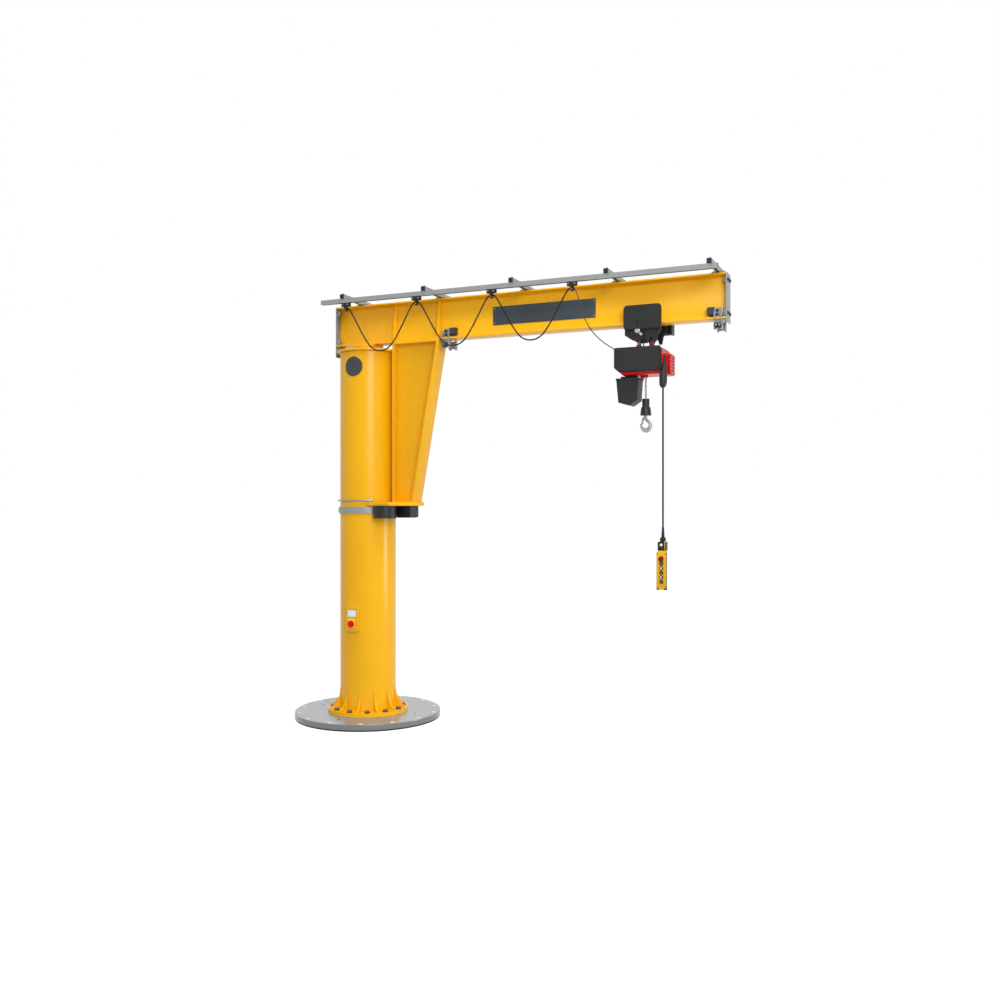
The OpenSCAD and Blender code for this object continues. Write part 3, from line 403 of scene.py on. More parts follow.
# ABS case and plate of the switch: the case a duller yellow, the plate a brighter one.
SWITCH_YELLOW = Finish("switch_case_abs", "EBB012", "E4A80E", rough=0.38, drift_mm=60, grain_mm=1.6,
                       grain_depth_mm=0.03)
SWITCH_BRIGHT = Finish("switch_plate_abs", "FFCF0E", "FAC808", rough=0.32, drift_mm=30, grain_mm=1.6,
                       grain_depth_mm=0.02)
# Smooth ABS of the rotary knob: bright red.
KNOB_RED = Finish("knob_red_abs", "E4120C", "D80F0A", rough=0.3, drift_mm=18, grain_mm=1.4,
                  grain_depth_mm=0.02, specular=0.2)
# Blank card behind a clear cover; the grey plastic of its frame, also used for button marks.
WINDOW_WHITE = Finish("window_card", "F1F2F0", "E7E8E6", rough=0.25, drift_mm=30, grain_mm=1.5,
                      grain_depth_mm=0.01, coat=0.5)
WINDOW_FRAME = Finish("window_frame_grey", "8C8E90", "7C7E80", rough=0.45, drift_mm=20, grain_mm=1.5,
                      grain_depth_mm=0.02)
# Anodised slate aluminium of the bare name board.
SLATE = Finish("slate_anodised_board", "354048", "303A42", rough=0.36, metal=0.2, drift_mm=180,
               grain_mm=1.5, grain_depth_mm=0.02)
# Polypropylene shells of the pendant: yellow in front with a dark head above; the dark behind the front face
# and on the right side is painted shade.
PENDANT_SHELL = TwoToneShadedSide("pendant_shells_shaded_side", "E6B20A", "DEA808", rough=0.45, drift_mm=40, grain_mm=1.8,
                        grain_depth_mm=0.04, specular=0.25)
PENDANT_YELLOW = Finish("pendant_yellow_pp", "EDBA14", "E3AE0E", rough=0.45, drift_mm=40, grain_mm=1.8,
                        grain_depth_mm=0.04, specular=0.25)
# Moulded plastic of lamp and marks in white, of caps in dark grey, and of the deep red stop button.
BUTTON_WHITE = Finish("button_white", "ECECEA", "DEDEDC", rough=0.35, drift_mm=10, grain_mm=1.0,
                      grain_depth_mm=0.01)
BUTTON_DARK = Finish("button_dark", "2B2B2D", "222224", rough=0.4, drift_mm=10, grain_mm=1.0,
                     grain_depth_mm=0.01)
STOP_RED = Finish("stop_button_red", "860305", "760204", rough=0.3, drift_mm=10, grain_mm=1.0,
                  grain_depth_mm=0.01, specular=0.2)


# ---------------------------------------------------------------------------
# Mesh work
# ---------------------------------------------------------------------------
def shade(bm: bmesh.types.BMesh, sharp: float) -> None:
    """Smooths the faces and keeps the edges that turn by more than an angle.

    Args:
        bm: Mesh to shade.
        sharp: Angle in degrees above which an edge stays sharp.
    """
    for face in bm.faces:
        face.smooth = True
    for edge in bm.edges:
        edge.smooth = len(edge.link_faces) == 2 and edge.calc_face_angle(0) < math.radians(sharp)


def keep(name: str, bm: bmesh.types.BMesh, finish: Finish, body: str,
         sharp: float = 35) -> bpy.types.Object:
    """Makes a finished piece of a mesh and lets it ride on its body.

    Args:
        name: Name of the piece.
        bm: Its mesh, in place; freed here.
        finish: Its finish.
        body: Body that carries it.
        sharp: Angle in degrees above which an edge stays sharp.

    Returns:
        The new object.
    """
    shade(bm, sharp)
    mesh = bpy.data.meshes.new(name)
    bm.to_mesh(mesh)
    bm.free()
    mesh.materials.append(finish.build())
    piece = bpy.data.objects.new(name, mesh)
    bpy.context.scene.collection.objects.link(piece)
    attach(piece, body)
    LOG.info("%s: %d faces on %s", name, len(mesh.polygons), body)
    return piece


def copy_of(node: bpy.types.Object, edge: float = 0.0) -> bmesh.types.BMesh:
    """Copies a CAD node's mesh, merged and with its edges broken where wanted.

    Args:
        node: The CAD node's object.
        edge: Width of the broken edges, or 0 to leave them.

    Returns:
        The copy.
    """
    bm = bmesh.new()
    bm.from_mesh(node.data)
    bmesh.ops.remove_doubles(bm, verts=bm.verts, dist=0.01 * MM)
    if edge:
        bmesh.ops.dissolve_limit(bm, angle_limit=math.radians(0.6), verts=bm.verts, edges=bm.edges)
        corners = [e for e in bm.edges if len(e.link_faces) == 2
                   and e.calc_face_angle(0) > math.radians(48) and e.calc_length() > 2 * edge]
        bmesh.ops.bevel(bm, geom=corners, offset=edge, segments=2, affect="EDGES", profile=0.5,
                        material=-1, clamp_overlap=True)
    return bm


def refine(frame: dict, node: str, finish: Finish, body: str, edge: float = 0.0,
           sharp: float = 32) -> bpy.types.Object:
    """Shows a CAD node as a smooth-shaded copy of itself.

    Args:
        frame: The loaded frame.
        node: Name of the CAD node.
        finish: Finish of the copy.
        body: Body that carries it.
        edge: Width of its broken edges.
        sharp: Angle in degrees above which an edge stays sharp.

    Returns:
        The piece that replaces the node.
    """
    piece = keep(f"{node}_shown", copy_of(frame["nodes"][node], edge), finish, body, sharp)
    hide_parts(node)
    return piece


def paint(frame: dict, node: str, finish: Finish) -> None:
    """Gives a CAD node that stays in view its finish.

    Args:
        frame: The loaded frame.
        node: Name of the CAD node.
        finish: Its finish.
    """
    data = frame["nodes"][node].data
    if not data.materials:
        data.materials.append(None)
    for index in range(len(data.materials)):
        data.materials[index] = finish.build()
    LOG.info("%s: finished as %s", node, finish.name)


def add_drum(bm: bmesh.types.BMesh, at: Point, axis: Axis, radius: float, length: float, sign: int = 1,
             sides: int = 40, top: float | None = None, edge: float = 0.0) -> None:
    """Adds a closed drum or cone that starts at a point and grows along an axis.

    Args:
        bm: Mesh that takes it.
        at: Centre of its near face.
        axis: Its axis.
        radius: Radius of the near face.
        length: Its length.
        sign: 1 to grow along the axis, -1 to grow against it.
        sides: Number of its sides; 6 makes a nut.
        top: Radius of the far face, if it differs.
        edge: Width of the broken rims.
    """
    place = Matrix.Translation(at) @ axis.turn(sign) @ Matrix.Translation((0, 0, length / 2))
    made = bmesh.ops.create_cone(bm, cap_ends=True, segments=sides, radius1=radius,
                                 radius2=radius if top is None else top, depth=length, matrix=place)
    if edge:
        ends = [f for f in {f for v in made["verts"] for f in v.link_faces} if len(f.verts) == sides]
        rims = list({e for f in ends for e in f.edges})
        bmesh.ops.bevel(bm, geom=rims, offset=edge, segments=2, affect="EDGES", profile=0.5, material=-1)


def add_block(bm: bmesh.types.BMesh, low: Point, high: Point, edge: float = 0.0) -> None:
    """Adds a block between two corners, its edges broken.

    Args:
        bm: Mesh that takes it.
        low: Lowest corner.
        high: Highest corner.
        edge: Width of the broken edges.
    """
    low_v, high_v = Vector(low), Vector(high)
    place = Matrix.Translation((low_v + high_v) / 2) @ Matrix.Diagonal((*(high_v - low_v), 1))
    made = bmesh.ops.create_cube(bm, size=1, matrix=place)
    if edge:
        edges = list({e for v in made["verts"] for e in v.link_edges})
        bmesh.ops.bevel(bm, geom=edges, offset=edge, segments=2, affect="EDGES", profile=0.5, material=-1)


def spin_profile(bm: bmesh.types.BMesh, profile: Sequence[tuple[float, float]], at: Point, axis: Axis,
                 sign: int = 1, steps: int = 40) -> None:
    """Turns a profile of radius and height once round an axis.

    Args:
        bm: Mesh that takes it.
        profile: Radius and height of each point, from the axis to the axis.
        at: Foot of the turned piece.
        axis: Its axis.
        sign: 1 to grow along the axis, -1 against it.
        steps: Number of steps of the turn.
    """
    before = set(bm.verts)
    verts = [bm.verts.new((r, 0, h)) for r, h in profile]
    edges = [bm.edges.new(pair) for pair in zip(verts, verts[1:])]
    bmesh.ops.spin(bm, geom=verts + edges, cent=(0, 0, 0), axis=(0, 0, 1), dvec=(0, 0, 0),
                   angle=2 * math.pi, steps=steps, use_merge=True, use_duplicate=False)
    made = [v for v in bm.verts if v not in before]
    bmesh.ops.remove_doubles(bm, verts=made, dist=0.01 * MM)
    made = [v for v in bm.verts if v not in before]
    bmesh.ops.transform(bm, matrix=Matrix.Translation(at) @ axis.turn(sign), verts=made)
    bmesh.ops.recalc_face_normals(bm, faces=[f for f in bm.faces if f.verts[0] not in before])


def add_bolt(bm: bmesh.types.BMesh, at: Point, axis: Axis, across: float, height: float, sign: int = 1,
             stud: float = 0.0) -> None:
    """Adds a hexagon head or nut with a rounded crown, and the stud's end where there is one.

    Args:
        bm: Mesh that takes it.
        at: Centre of its seat.
        axis: Its axis.
        across: Width across the flats.
        height: Height of the hexagon.
        sign: 1 to stand along the axis, -1 against it.
        stud: Length of the stud's end above a nut.
    """
    add_drum(bm, at, axis, across / math.sqrt(3), height, sign, sides=6, edge=across * 0.045)
    if stud:
        start = Vector(at) + axis.turn(sign).to_3x3() @ Vector((0, 0, height - 0.2 * MM))
        add_drum(bm, tuple(start), axis, across * 0.33, stud, sign, sides=20, edge=across * 0.04)


def smooth_route(points: Sequence[Point], per_span: int) -> list[Vector]:
    """Draws one smooth curve through the given points.

    Args:
        points: Points of the route.
        per_span: Number of steps between two of them.

    Returns:
        Points on the curve.
    """
    p = [Vector(q) for q in points]
    last = len(p) - 1
    out: list[Vector] = []
    for i in range(last):
        a, b, c, d = p[max(i - 1, 0)], p[i], p[i + 1], p[min(i + 2, last)]
        for j in range(per_span):
            t = j / per_span
            out.append(0.5 * (2 * b + (c - a) * t + (2 * a - 5 * b + 4 * c - d) * t ** 2
                              + (3 * b - a - 3 * c + d) * t ** 3))
    return out + [p[last]]


def tube(name: str, routes: Iterable[Sequence[Vector]], radius: float, closed: bool = False,
         fineness: int = 3) -> bmesh.types.BMesh:
    """Draws round tubes along one or more routes.

    Args:
        name: Name for the working curve.
        routes: The routes.
        radius: Radius of the tubes.
        closed: Whether each route ends where it starts.
        fineness: Steps of a quarter of the section, less one.

    Returns:
        The tubes' mesh.
    """
    curve = bpy.data.curves.new(name, "CURVE")
    curve.dimensions = "3D"
    curve.bevel_depth = radius
    curve.bevel_resolution = fineness
    curve.use_fill_caps = not closed
    for route in routes:
        line = curve.splines.new("POLY")
        line.points.add(len(route) - 1)
        for point, at in zip(line.points, route):
            point.co = (*at, 1)
        line.use_cyclic_u = closed
    holder = bpy.data.objects.new(name, curve)
    bpy.context.scene.collection.objects.link(holder)
    bpy.context.view_layer.update()
    mesh = bpy.data.meshes.new_from_object(holder.evaluated_get(bpy.context.evaluated_depsgraph_get()))
    bpy.data.objects.remove(holder)
    bpy.data.curves.remove(curve)
    bm = bmesh.new()
    bm.from_mesh(mesh)
    bpy.data.meshes.remove(mesh)
    bmesh.ops.remove_doubles(bm, verts=bm.verts, dist=0.01 * MM)
    bmesh.ops.recalc_face_normals(bm, faces=bm.faces)
    return bm


def free_piece(name: str, bm: bmesh.types.BMesh, finish: Finish) -> bpy.types.Object:
    """Makes a smooth piece that rides on no body until one is given.

    Args:
        name: Name of the piece.
        bm: Its mesh, in place; freed here.
        finish: Its finish.

    Returns:
        The new object.
    """
    shade(bm, 50)
    mesh = bpy.data.meshes.new(name)
    bm.to_mesh(mesh)
    bm.free()
    mesh.materials.append(finish.build())
    piece = bpy.data.objects.new(name, mesh)
    bpy.context.scene.collection.objects.link(piece)
    LOG.info("%s: %d faces", name, len(mesh.polygons))
    return piece


# ---------------------------------------------------------------------------
# Camera, lamps and floor
# ---------------------------------------------------------------------------
@dataclass(frozen=True)
class Lamp:
    """A square soft lamp that looks at a point of the object."""

    name: str
    at: Point
    aim: Point
    size: float
    watts: float

    def build(self) -> None:
        """Adds the lamp to the scene."""
        data = bpy.data.lights.new(self.name, "AREA")
        data.size = self.size
        data.energy = self.watts
        lamp = bpy.data.objects.new(self.name, data)
        lamp.location = self.at
        lamp.rotation_euler = (Vector(self.aim) - Vector(self.at)).to_track_quat("-Z", "Y").to_euler()
        bpy.context.scene.collection.objects.link(lamp)


@dataclass
class Studio:
    """White sweep, soft lamps and the camera."""

    camera_at: Point = (4.007, -6.546, 1.647)
    camera_turn: float = 23.93
    camera_lens: float = 35.83
    ambient: float = 0.60
    floor_half: float = 90.0
    floor_glow: float = 0.80
    floor_grey: str = "A8A8A8"
    lamps: tuple[Lamp, ...] = (
        Lamp("key", (6.0, -6.9, 4.2), (1.0, 0.0, 1.5), 3.4, 365.0),
        Lamp("strip", (4.35, 1.25, 1.02), (0.0, 0.0, 1.2), 0.75, 40.0),
        Lamp("top", (1.4, -1.2, 7.4), (1.2, 0.0, 2.0), 4.0, 240.0),
    )

    def build_camera(self) -> None:
        """Places the camera that the scene is seen from."""
        data = bpy.data.cameras.new("view")
        data.sensor_width = 36
        data.lens = self.camera_lens
        camera = bpy.data.objects.new("view", data)
        camera.location = self.camera_at
        camera.rotation_euler = (math.radians(90), 0, math.radians(self.camera_turn))
        bpy.context.scene.collection.objects.link(camera)
        bpy.context.scene.camera = camera

    @staticmethod
    def seen_directly(tree: bpy.types.NodeTree) -> bpy.types.NodeSocket:
        """Finds where the camera, gloss or glass sees the surface.

        Args:
            tree: The node tree.

        Returns:
            A socket that is 1 there.
        """
        path = add_node(tree, "ShaderNodeLightPath")
        first = add_node(tree, "ShaderNodeMath", {0: path.outputs["Is Camera Ray"],
                                                  1: path.outputs["Is Glossy Ray"]}, operation="MAXIMUM")
        return add_node(tree, "ShaderNodeMath", {0: first.outputs[0], 1: path.outputs["Is Transmission Ray"]},
                        operation="MAXIMUM").outputs[0]

    def build_world(self) -> None:
        """Lights the object evenly, and shows white behind it."""
        world = bpy.data.worlds.new("studio")
        bpy.context.scene.world = world
        world.use_nodes = True
        tree = world.node_tree
        tree.nodes.clear()
        white = (1.0, 1.0, 1.0, 1.0)
        soft = add_node(tree, "ShaderNodeBackground", {"Color": white, "Strength": self.ambient})
        seen = add_node(tree, "ShaderNodeBackground", {"Color": white, "Strength": 1.0})
        both = add_node(tree, "ShaderNodeMixShader", {0: self.seen_directly(tree), 1: soft.outputs[0],
                                                      2: seen.outputs[0]})
        add_node(tree, "ShaderNodeOutputWorld", {"Surface": both.outputs[0]})

    def build_floor(self) -> None:
        """Lays a white floor that keeps the object's soft shadow."""
        bm = bmesh.new()
        bmesh.ops.create_grid(bm, x_segments=1, y_segments=1, size=self.floor_half)
        mesh = bpy.data.meshes.new("floor")
        bm.to_mesh(mesh)
        bm.free()
        floor = bpy.data.objects.new("floor", mesh)
        bpy.context.scene.collection.objects.link(floor)
        material = bpy.data.materials.new("white_sweep")
        material.use_nodes = True
        tree = material.node_tree
        tree.nodes.clear()
        matt = add_node(tree, "ShaderNodeBsdfDiffuse", {"Color": linear(self.floor_grey)})
        glow = add_node(tree, "ShaderNodeMath", {0: self.seen_directly(tree), 1: self.floor_glow},
                        operation="MULTIPLY")
        light = add_node(tree, "ShaderNodeEmission", {"Color": linear("FFFFFF"), "Strength": glow.outputs[0]})
        both = add_node(tree, "ShaderNodeAddShader", {0: matt.outputs[0], 1: light.outputs[0]})
        add_node(tree, "ShaderNodeOutputMaterial", {"Surface": both.outputs[0]})
        mesh.materials.append(material)

    def build(self) -> None:
        """Sets up lamps, world and floor."""
        self.build_world()
        self.build_floor()
        for lamp in self.lamps:
            lamp.build()
        bpy.context.scene.view_settings.view_transform = "Standard"


# ---------------------------------------------------------------------------
# Cords
# ---------------------------------------------------------------------------
@dataclass
class Festoon:
    """Four lengths of supply cable: three loops under the rail and the lead to the hoist."""

    lift_x: float = 2.180
    rail_y: float = -0.320
    loop_top: float = 3.050
    sag: float = 0.322
    first_x: float = 0.007
    last_x: float = 1.767
    grip: float = 0.0102
    lead: float = 0.008
    loop_d: float = 0.010
    last_d: float = 0.007
    gland: Point = (2.0118, -0.062, 2.652)
    row: tuple[tuple[float, float], ...] = (
        (0, 0), (0.011, 0.009), (0.032, 0.048), (0.065, 0.135), (0.12, 0.298), (0.18, 0.478), (0.24, 0.65),
        (0.30, 0.80), (0.36, 0.915), (0.43, 0.983), (0.5, 1), (0.57, 0.983), (0.64, 0.915), (0.70, 0.80),
        (0.76, 0.65), (0.82, 0.478), (0.88, 0.298), (0.935, 0.135), (0.968, 0.048), (0.989, 0.009), (1, 0))
    drop: tuple[Point, ...] = (
        (-0.392, -0.320, 3.046), (-0.380, -0.318, 3.014), (-0.369, -0.312, 2.975), (-0.356, -0.300, 2.915),
        (-0.334, -0.278, 2.840), (-0.296, -0.240, 2.766), (-0.255, -0.195, 2.715), (-0.220, -0.140, 2.684),
        (-0.198, -0.094, 2.668), (-0.186, -0.069, 2.658))

    def clamp_x(self, index: int) -> float:
        """Returns where the fixed clamp or a carrier holds the cable."""
        return self.first_x + index * (self.last_x - self.first_x) / 3

    def loop_route(self, index: int) -> list[Vector]:
        """Draws a loop between two clamps.

        Args:
            index: Number of the loop, from the pillar.

        Returns:
            Its centreline.
        """
        x0, x1 = self.clamp_x(index) + self.grip, self.clamp_x(index + 1) - self.grip
        span = x1 - x0 - 2 * self.lead
        sag = [(x0 + self.lead + u * span, self.rail_y, self.loop_top - self.sag * v) for u, v in self.row]
        return [Vector((x0, self.rail_y, self.loop_top)), *smooth_route(sag, 4),
                Vector((x1, self.rail_y, self.loop_top))]

    def last_route(self) -> list[Vector]:
        """Draws the cable from the third carrier to the gland behind the hoist's cover.

        Returns:
            Its centreline.
        """
        x0, gland = self.clamp_x(3) + self.grip, Vector(self.gland)
        points = [(x0 + self.lead, self.rail_y, self.loop_top),
                  *((self.lift_x + x, y, z) for x, y, z in self.drop),
                  tuple(gland - Vector((self.lead, 0, 0)))]
        return [Vector((x0, self.rail_y, self.loop_top)), *smooth_route(points, 5), gland]

    def hang(self, index: int, route: list[Vector], diameter: float, finish: Finish) -> None:
        """Hangs one length along its route.

        Args:
            index: Number of the length, from the pillar.
            route: Its centreline.
            diameter: Its diameter.
            finish: Finish of its jacket.
        """
        name = f"festoon_cord_{index + 1}"
        cord = free_piece(name, tube(name, [route], diameter / 2), finish)
        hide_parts(f"festoon_cable_{index + 1}")
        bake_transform(cord)

    def build(self) -> None:
        """Hangs the three loops and the last length."""
        for index in range(3):
            self.hang(index, self.loop_route(index), self.loop_d, JACKET)
        self.hang(3, self.last_route(), self.last_d, JACKET_GREY)


@dataclass
class PendantLead:
    """Control cable from the plug beside the hoist down to the pendant, and a short motor lead."""

    at_x: float = 2.3283
    at_y: float = -0.115
    top: float = 2.3867
    relief_top: float = 1.469
    foot: float = 1.399
    diameter: float = 0.012
    motor_lead: tuple[Point, ...] = (
        (2.186, -0.066, 2.781), (2.186, -0.084, 2.766), (2.187, -0.092, 2.735), (2.189, -0.094, 2.705),
        (2.191, -0.092, 2.682), (2.192, -0.082, 2.668), (2.192, -0.066, 2.664))
    motor_lead_d: float = 0.008

    def build_lead(self) -> None:
        """Hangs the pendant's cable with its tapered strain relief."""
        steps = 36
        route = [Vector((self.at_x, self.at_y, self.top + (self.relief_top - self.top) * i / steps))
                 for i in range(steps + 1)]
        cord = free_piece("pendant_cord", tube("pendant_cord", [route], self.diameter / 2, fineness=4),
                          JACKET)
        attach(cord, "trolley")
        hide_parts("pendant_cable")
        bm = bmesh.new()
        rings = [(0, 0), (0.012, 0)]
        count = 9
        for i in range(count):
            share = i / count
            radius, height = 0.012 - 0.0045 * share, (self.relief_top - self.foot) * share
            rings += [(radius, height), (radius, height + 0.004), (radius - 0.0012, height + 0.0048),
                      (radius - 0.0012, height + 0.0068)]
        rings += [(0.0068, self.relief_top - self.foot), (0, self.relief_top - self.foot)]
        spin_profile(bm, rings, (self.at_x, self.at_y, self.foot), Axis.Z, steps=28)
        relief = keep("pendant_strain_relief", bm, NYLON, "trolley", 40)

    def build_motor_lead(self) -> None:
        """Adds the short lead between the trolley and the hoist."""
        route = smooth_route(self.motor_lead, 5)
        cord = free_piece("trolley_lead", tube("trolley_lead", [route], self.motor_lead_d / 2), JACKET)
        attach(cord, "trolley")


# ---------------------------------------------------------------------------
# Pillar
# ---------------------------------------------------------------------------
@dataclass
class Pillar:
    """Anchor plate, foot with bolts and weld beads, tube, cap, plug and isolator."""

    frame: dict
    tube_r: float = 0.211
    anchor_count: int = 14
    anchor_circle: float = 0.515
    anchor_r: float = 0.018
    pad_top: float = 0.010
    plate_top: float = 0.050
    flange_top: float = 0.075
    bolt_circle: float = 0.265
    bolt_count: int = 12
    bolt_across: float = 0.031
    bolt_h: float = 0.014
    washer_r: float = 0.0215
    washer_t: float = 0.003
    gusset_top: float = 0.230
    gusset_t: float = 0.012
    gusset_out: float = 0.294
    cap_under: float = 2.762
    bead: float = 0.0045
    knob_z: float = 0.727
    case_x: float = 0.052
    case_z: tuple[float, float] = (0.666, 0.858)
    window_x: float = 0.0405
    window_z: tuple[float, float] = (0.7755, 0.8315)
    pocket_y: float = -0.232
    lid_y: float = -0.237
    plate_y: float = -0.240

    def build_shell(self) -> None:
        """Shows the round plates and the tube without facets."""
        refine(self.frame, "floor_pad", PAD_RUBBER, "pillar", 0.0)
        refine(self.frame, "base_plate", ANCHOR_PLATE, "pillar", 1.5 * MM)
        refine(self.frame, "pillar_foot", POWDER_YELLOW, "pillar", 0.0)
        refine(self.frame, "pillar_tube", POWDER_YELLOW, "pillar", 0.0)
        refine(self.frame, "pillar_cap", POWDER_YELLOW, "pillar", 1.2 * MM)
        refine(self.frame, "access_plug", PLUG_GREY, "pillar", 0.0)
        refine(self.frame, "track_band", ZINC_STRIP, "pillar", 0.0)

    def build_bolts(self) -> None:
        """Adds the foot bolts with their washers, one between each two gussets."""
        nuts, washers = bmesh.new(), bmesh.new()
        for i in range(self.bolt_count):
            turn = 2 * math.pi * i / self.bolt_count
            at = (self.bolt_circle * math.cos(turn), self.bolt_circle * math.sin(turn), self.flange_top)
            add_drum(washers, at, Axis.Z, self.washer_r, self.washer_t, sides=36, edge=0.6 * MM)
            add_bolt(nuts, (at[0], at[1], at[2] + self.washer_t), Axis.Z, self.bolt_across, self.bolt_h)
        keep("foot_washers", washers, DARK_NUT, "pillar")
        keep("foot_bolts", nuts, FOOT_BOLT, "pillar")

    def build_hole_light(self) -> None:
        """Paints light into the anchor holes: thin white linings stand in for the bright floor seen through
        them.
        """
        bm = bmesh.new()
        for i in range(self.anchor_count):
            turn = 2 * math.pi * i / self.anchor_count - math.pi / 2
            at = (self.anchor_circle * math.cos(turn), self.anchor_circle * math.sin(turn), self.pad_top)
            outer, inner = self.anchor_r - 0.1 * MM, self.anchor_r - 1.4 * MM
            height, foot = self.plate_top - self.pad_top, 0.0005
            spin_profile(bm, [(outer, foot), (outer, height), (inner, height), (inner, foot), (outer, foot)],
                         at, Axis.Z, steps=32)
        # Painted light: white linings for the bright floor seen through the holes.
        keep("anchor_hole_light_linings", bm, PAINTED_HOLE_LIGHT, "pillar")

    def build_beads(self) -> None:
        """Lays the weld beads round the tube's ends and along the gussets."""
        def ring(radius: float, height: float, count: int = 144) -> list[Vector]:
            """Returns a level ring of points round the pillar."""
            turns = (2 * math.pi * i / count for i in range(count))
            return [Vector((radius * math.cos(turn), radius * math.sin(turn), height)) for turn in turns]

        keep("tube_beads", tube("tube_beads", [ring(self.tube_r + 1 * MM, self.flange_top + 1 * MM),
                                               ring(self.tube_r + 1 * MM, self.cap_under - 1 * MM)],
                                self.bead, closed=True), POWDER_WELD, "pillar", 60)
        routes = []
        for i in range(self.bolt_count):
            turn = Matrix.Rotation(2 * math.pi * (i + 0.5) / self.bolt_count, 4, "Z")
            for side in (-1, 1):
                y = side * (self.gusset_t / 2 + 1 * MM)
                corner = (self.tube_r + 2 * MM, y, self.flange_top + 2 * MM)
                routes.append([turn @ Vector((self.tube_r + 1 * MM, y, self.gusset_top - 6 * MM)),
                               turn @ Vector((self.tube_r + 1 * MM, y, self.flange_top + 6 * MM)),
                               turn @ Vector(corner),
                               turn @ Vector((self.gusset_out - 6 * MM, y, self.flange_top + 1 * MM))])
        keep("gusset_beads", tube("gusset_beads", routes, 3.2 * MM, fineness=1), POWDER_WELD, "pillar",
             60)

    def build_isolator(self) -> None:
        """Fits the switch: case, lid screws, window, bright plate and knob."""
        refine(self.frame, "isolator_box", SWITCH_YELLOW, "pillar", 0.8 * MM)
        bm = bmesh.new()
        add_block(bm, (-self.window_x, self.pocket_y - 2.2 * MM, self.window_z[0]),
                  (self.window_x, self.pocket_y - 0.2 * MM, self.window_z[1]), 0.8 * MM)
        keep("isolator_window", bm, WINDOW_WHITE, "pillar")
        bm = bmesh.new()
        inner_x, rim = self.window_x - 2 * MM, 2.4 * MM
        low, high = self.window_z
        for x0, x1, z0, z1 in ((-inner_x, inner_x, low, low + rim), (-inner_x, inner_x, high - rim, high),
                               (-inner_x, rim - inner_x, low, high), (inner_x - rim, inner_x, low, high)):
            add_block(bm, (x0, self.pocket_y - 3.6 * MM, z0), (x1, self.pocket_y - 1.8 * MM, z1), 0.5 * MM)
        keep("isolator_window_rim", bm, WINDOW_FRAME, "pillar")
        bm = bmesh.new()
        add_block(bm, (-0.031, self.plate_y - 1.2 * MM, self.knob_z - 0.032),
                  (0.031, self.plate_y - 0.1 * MM, self.knob_z + 0.038), 0.4 * MM)
        keep("isolator_plate", bm, SWITCH_BRIGHT, "pillar")
        bm = bmesh.new()
        for x in (-self.case_x + 0.012, self.case_x - 0.012):
            for z in (self.case_z[0] + 0.012, self.case_z[1] - 0.012):
                add_drum(bm, (x, self.lid_y - 0.2 * MM, z), Axis.Y, 0.0042, 0.0016, sign=-1, sides=24,
                         edge=0.4 * MM)
        keep("isolator_screws", bm, SWITCH_YELLOW, "pillar")
        refine(self.frame, "isolator_knob", KNOB_RED, "isolator_switch", 0.9 * MM)

    def build(self) -> None:
        """Builds the whole pillar."""
        self.build_shell()
        self.build_bolts()
        self.build_hole_light()
        self.build_beads()
        self.build_isolator()


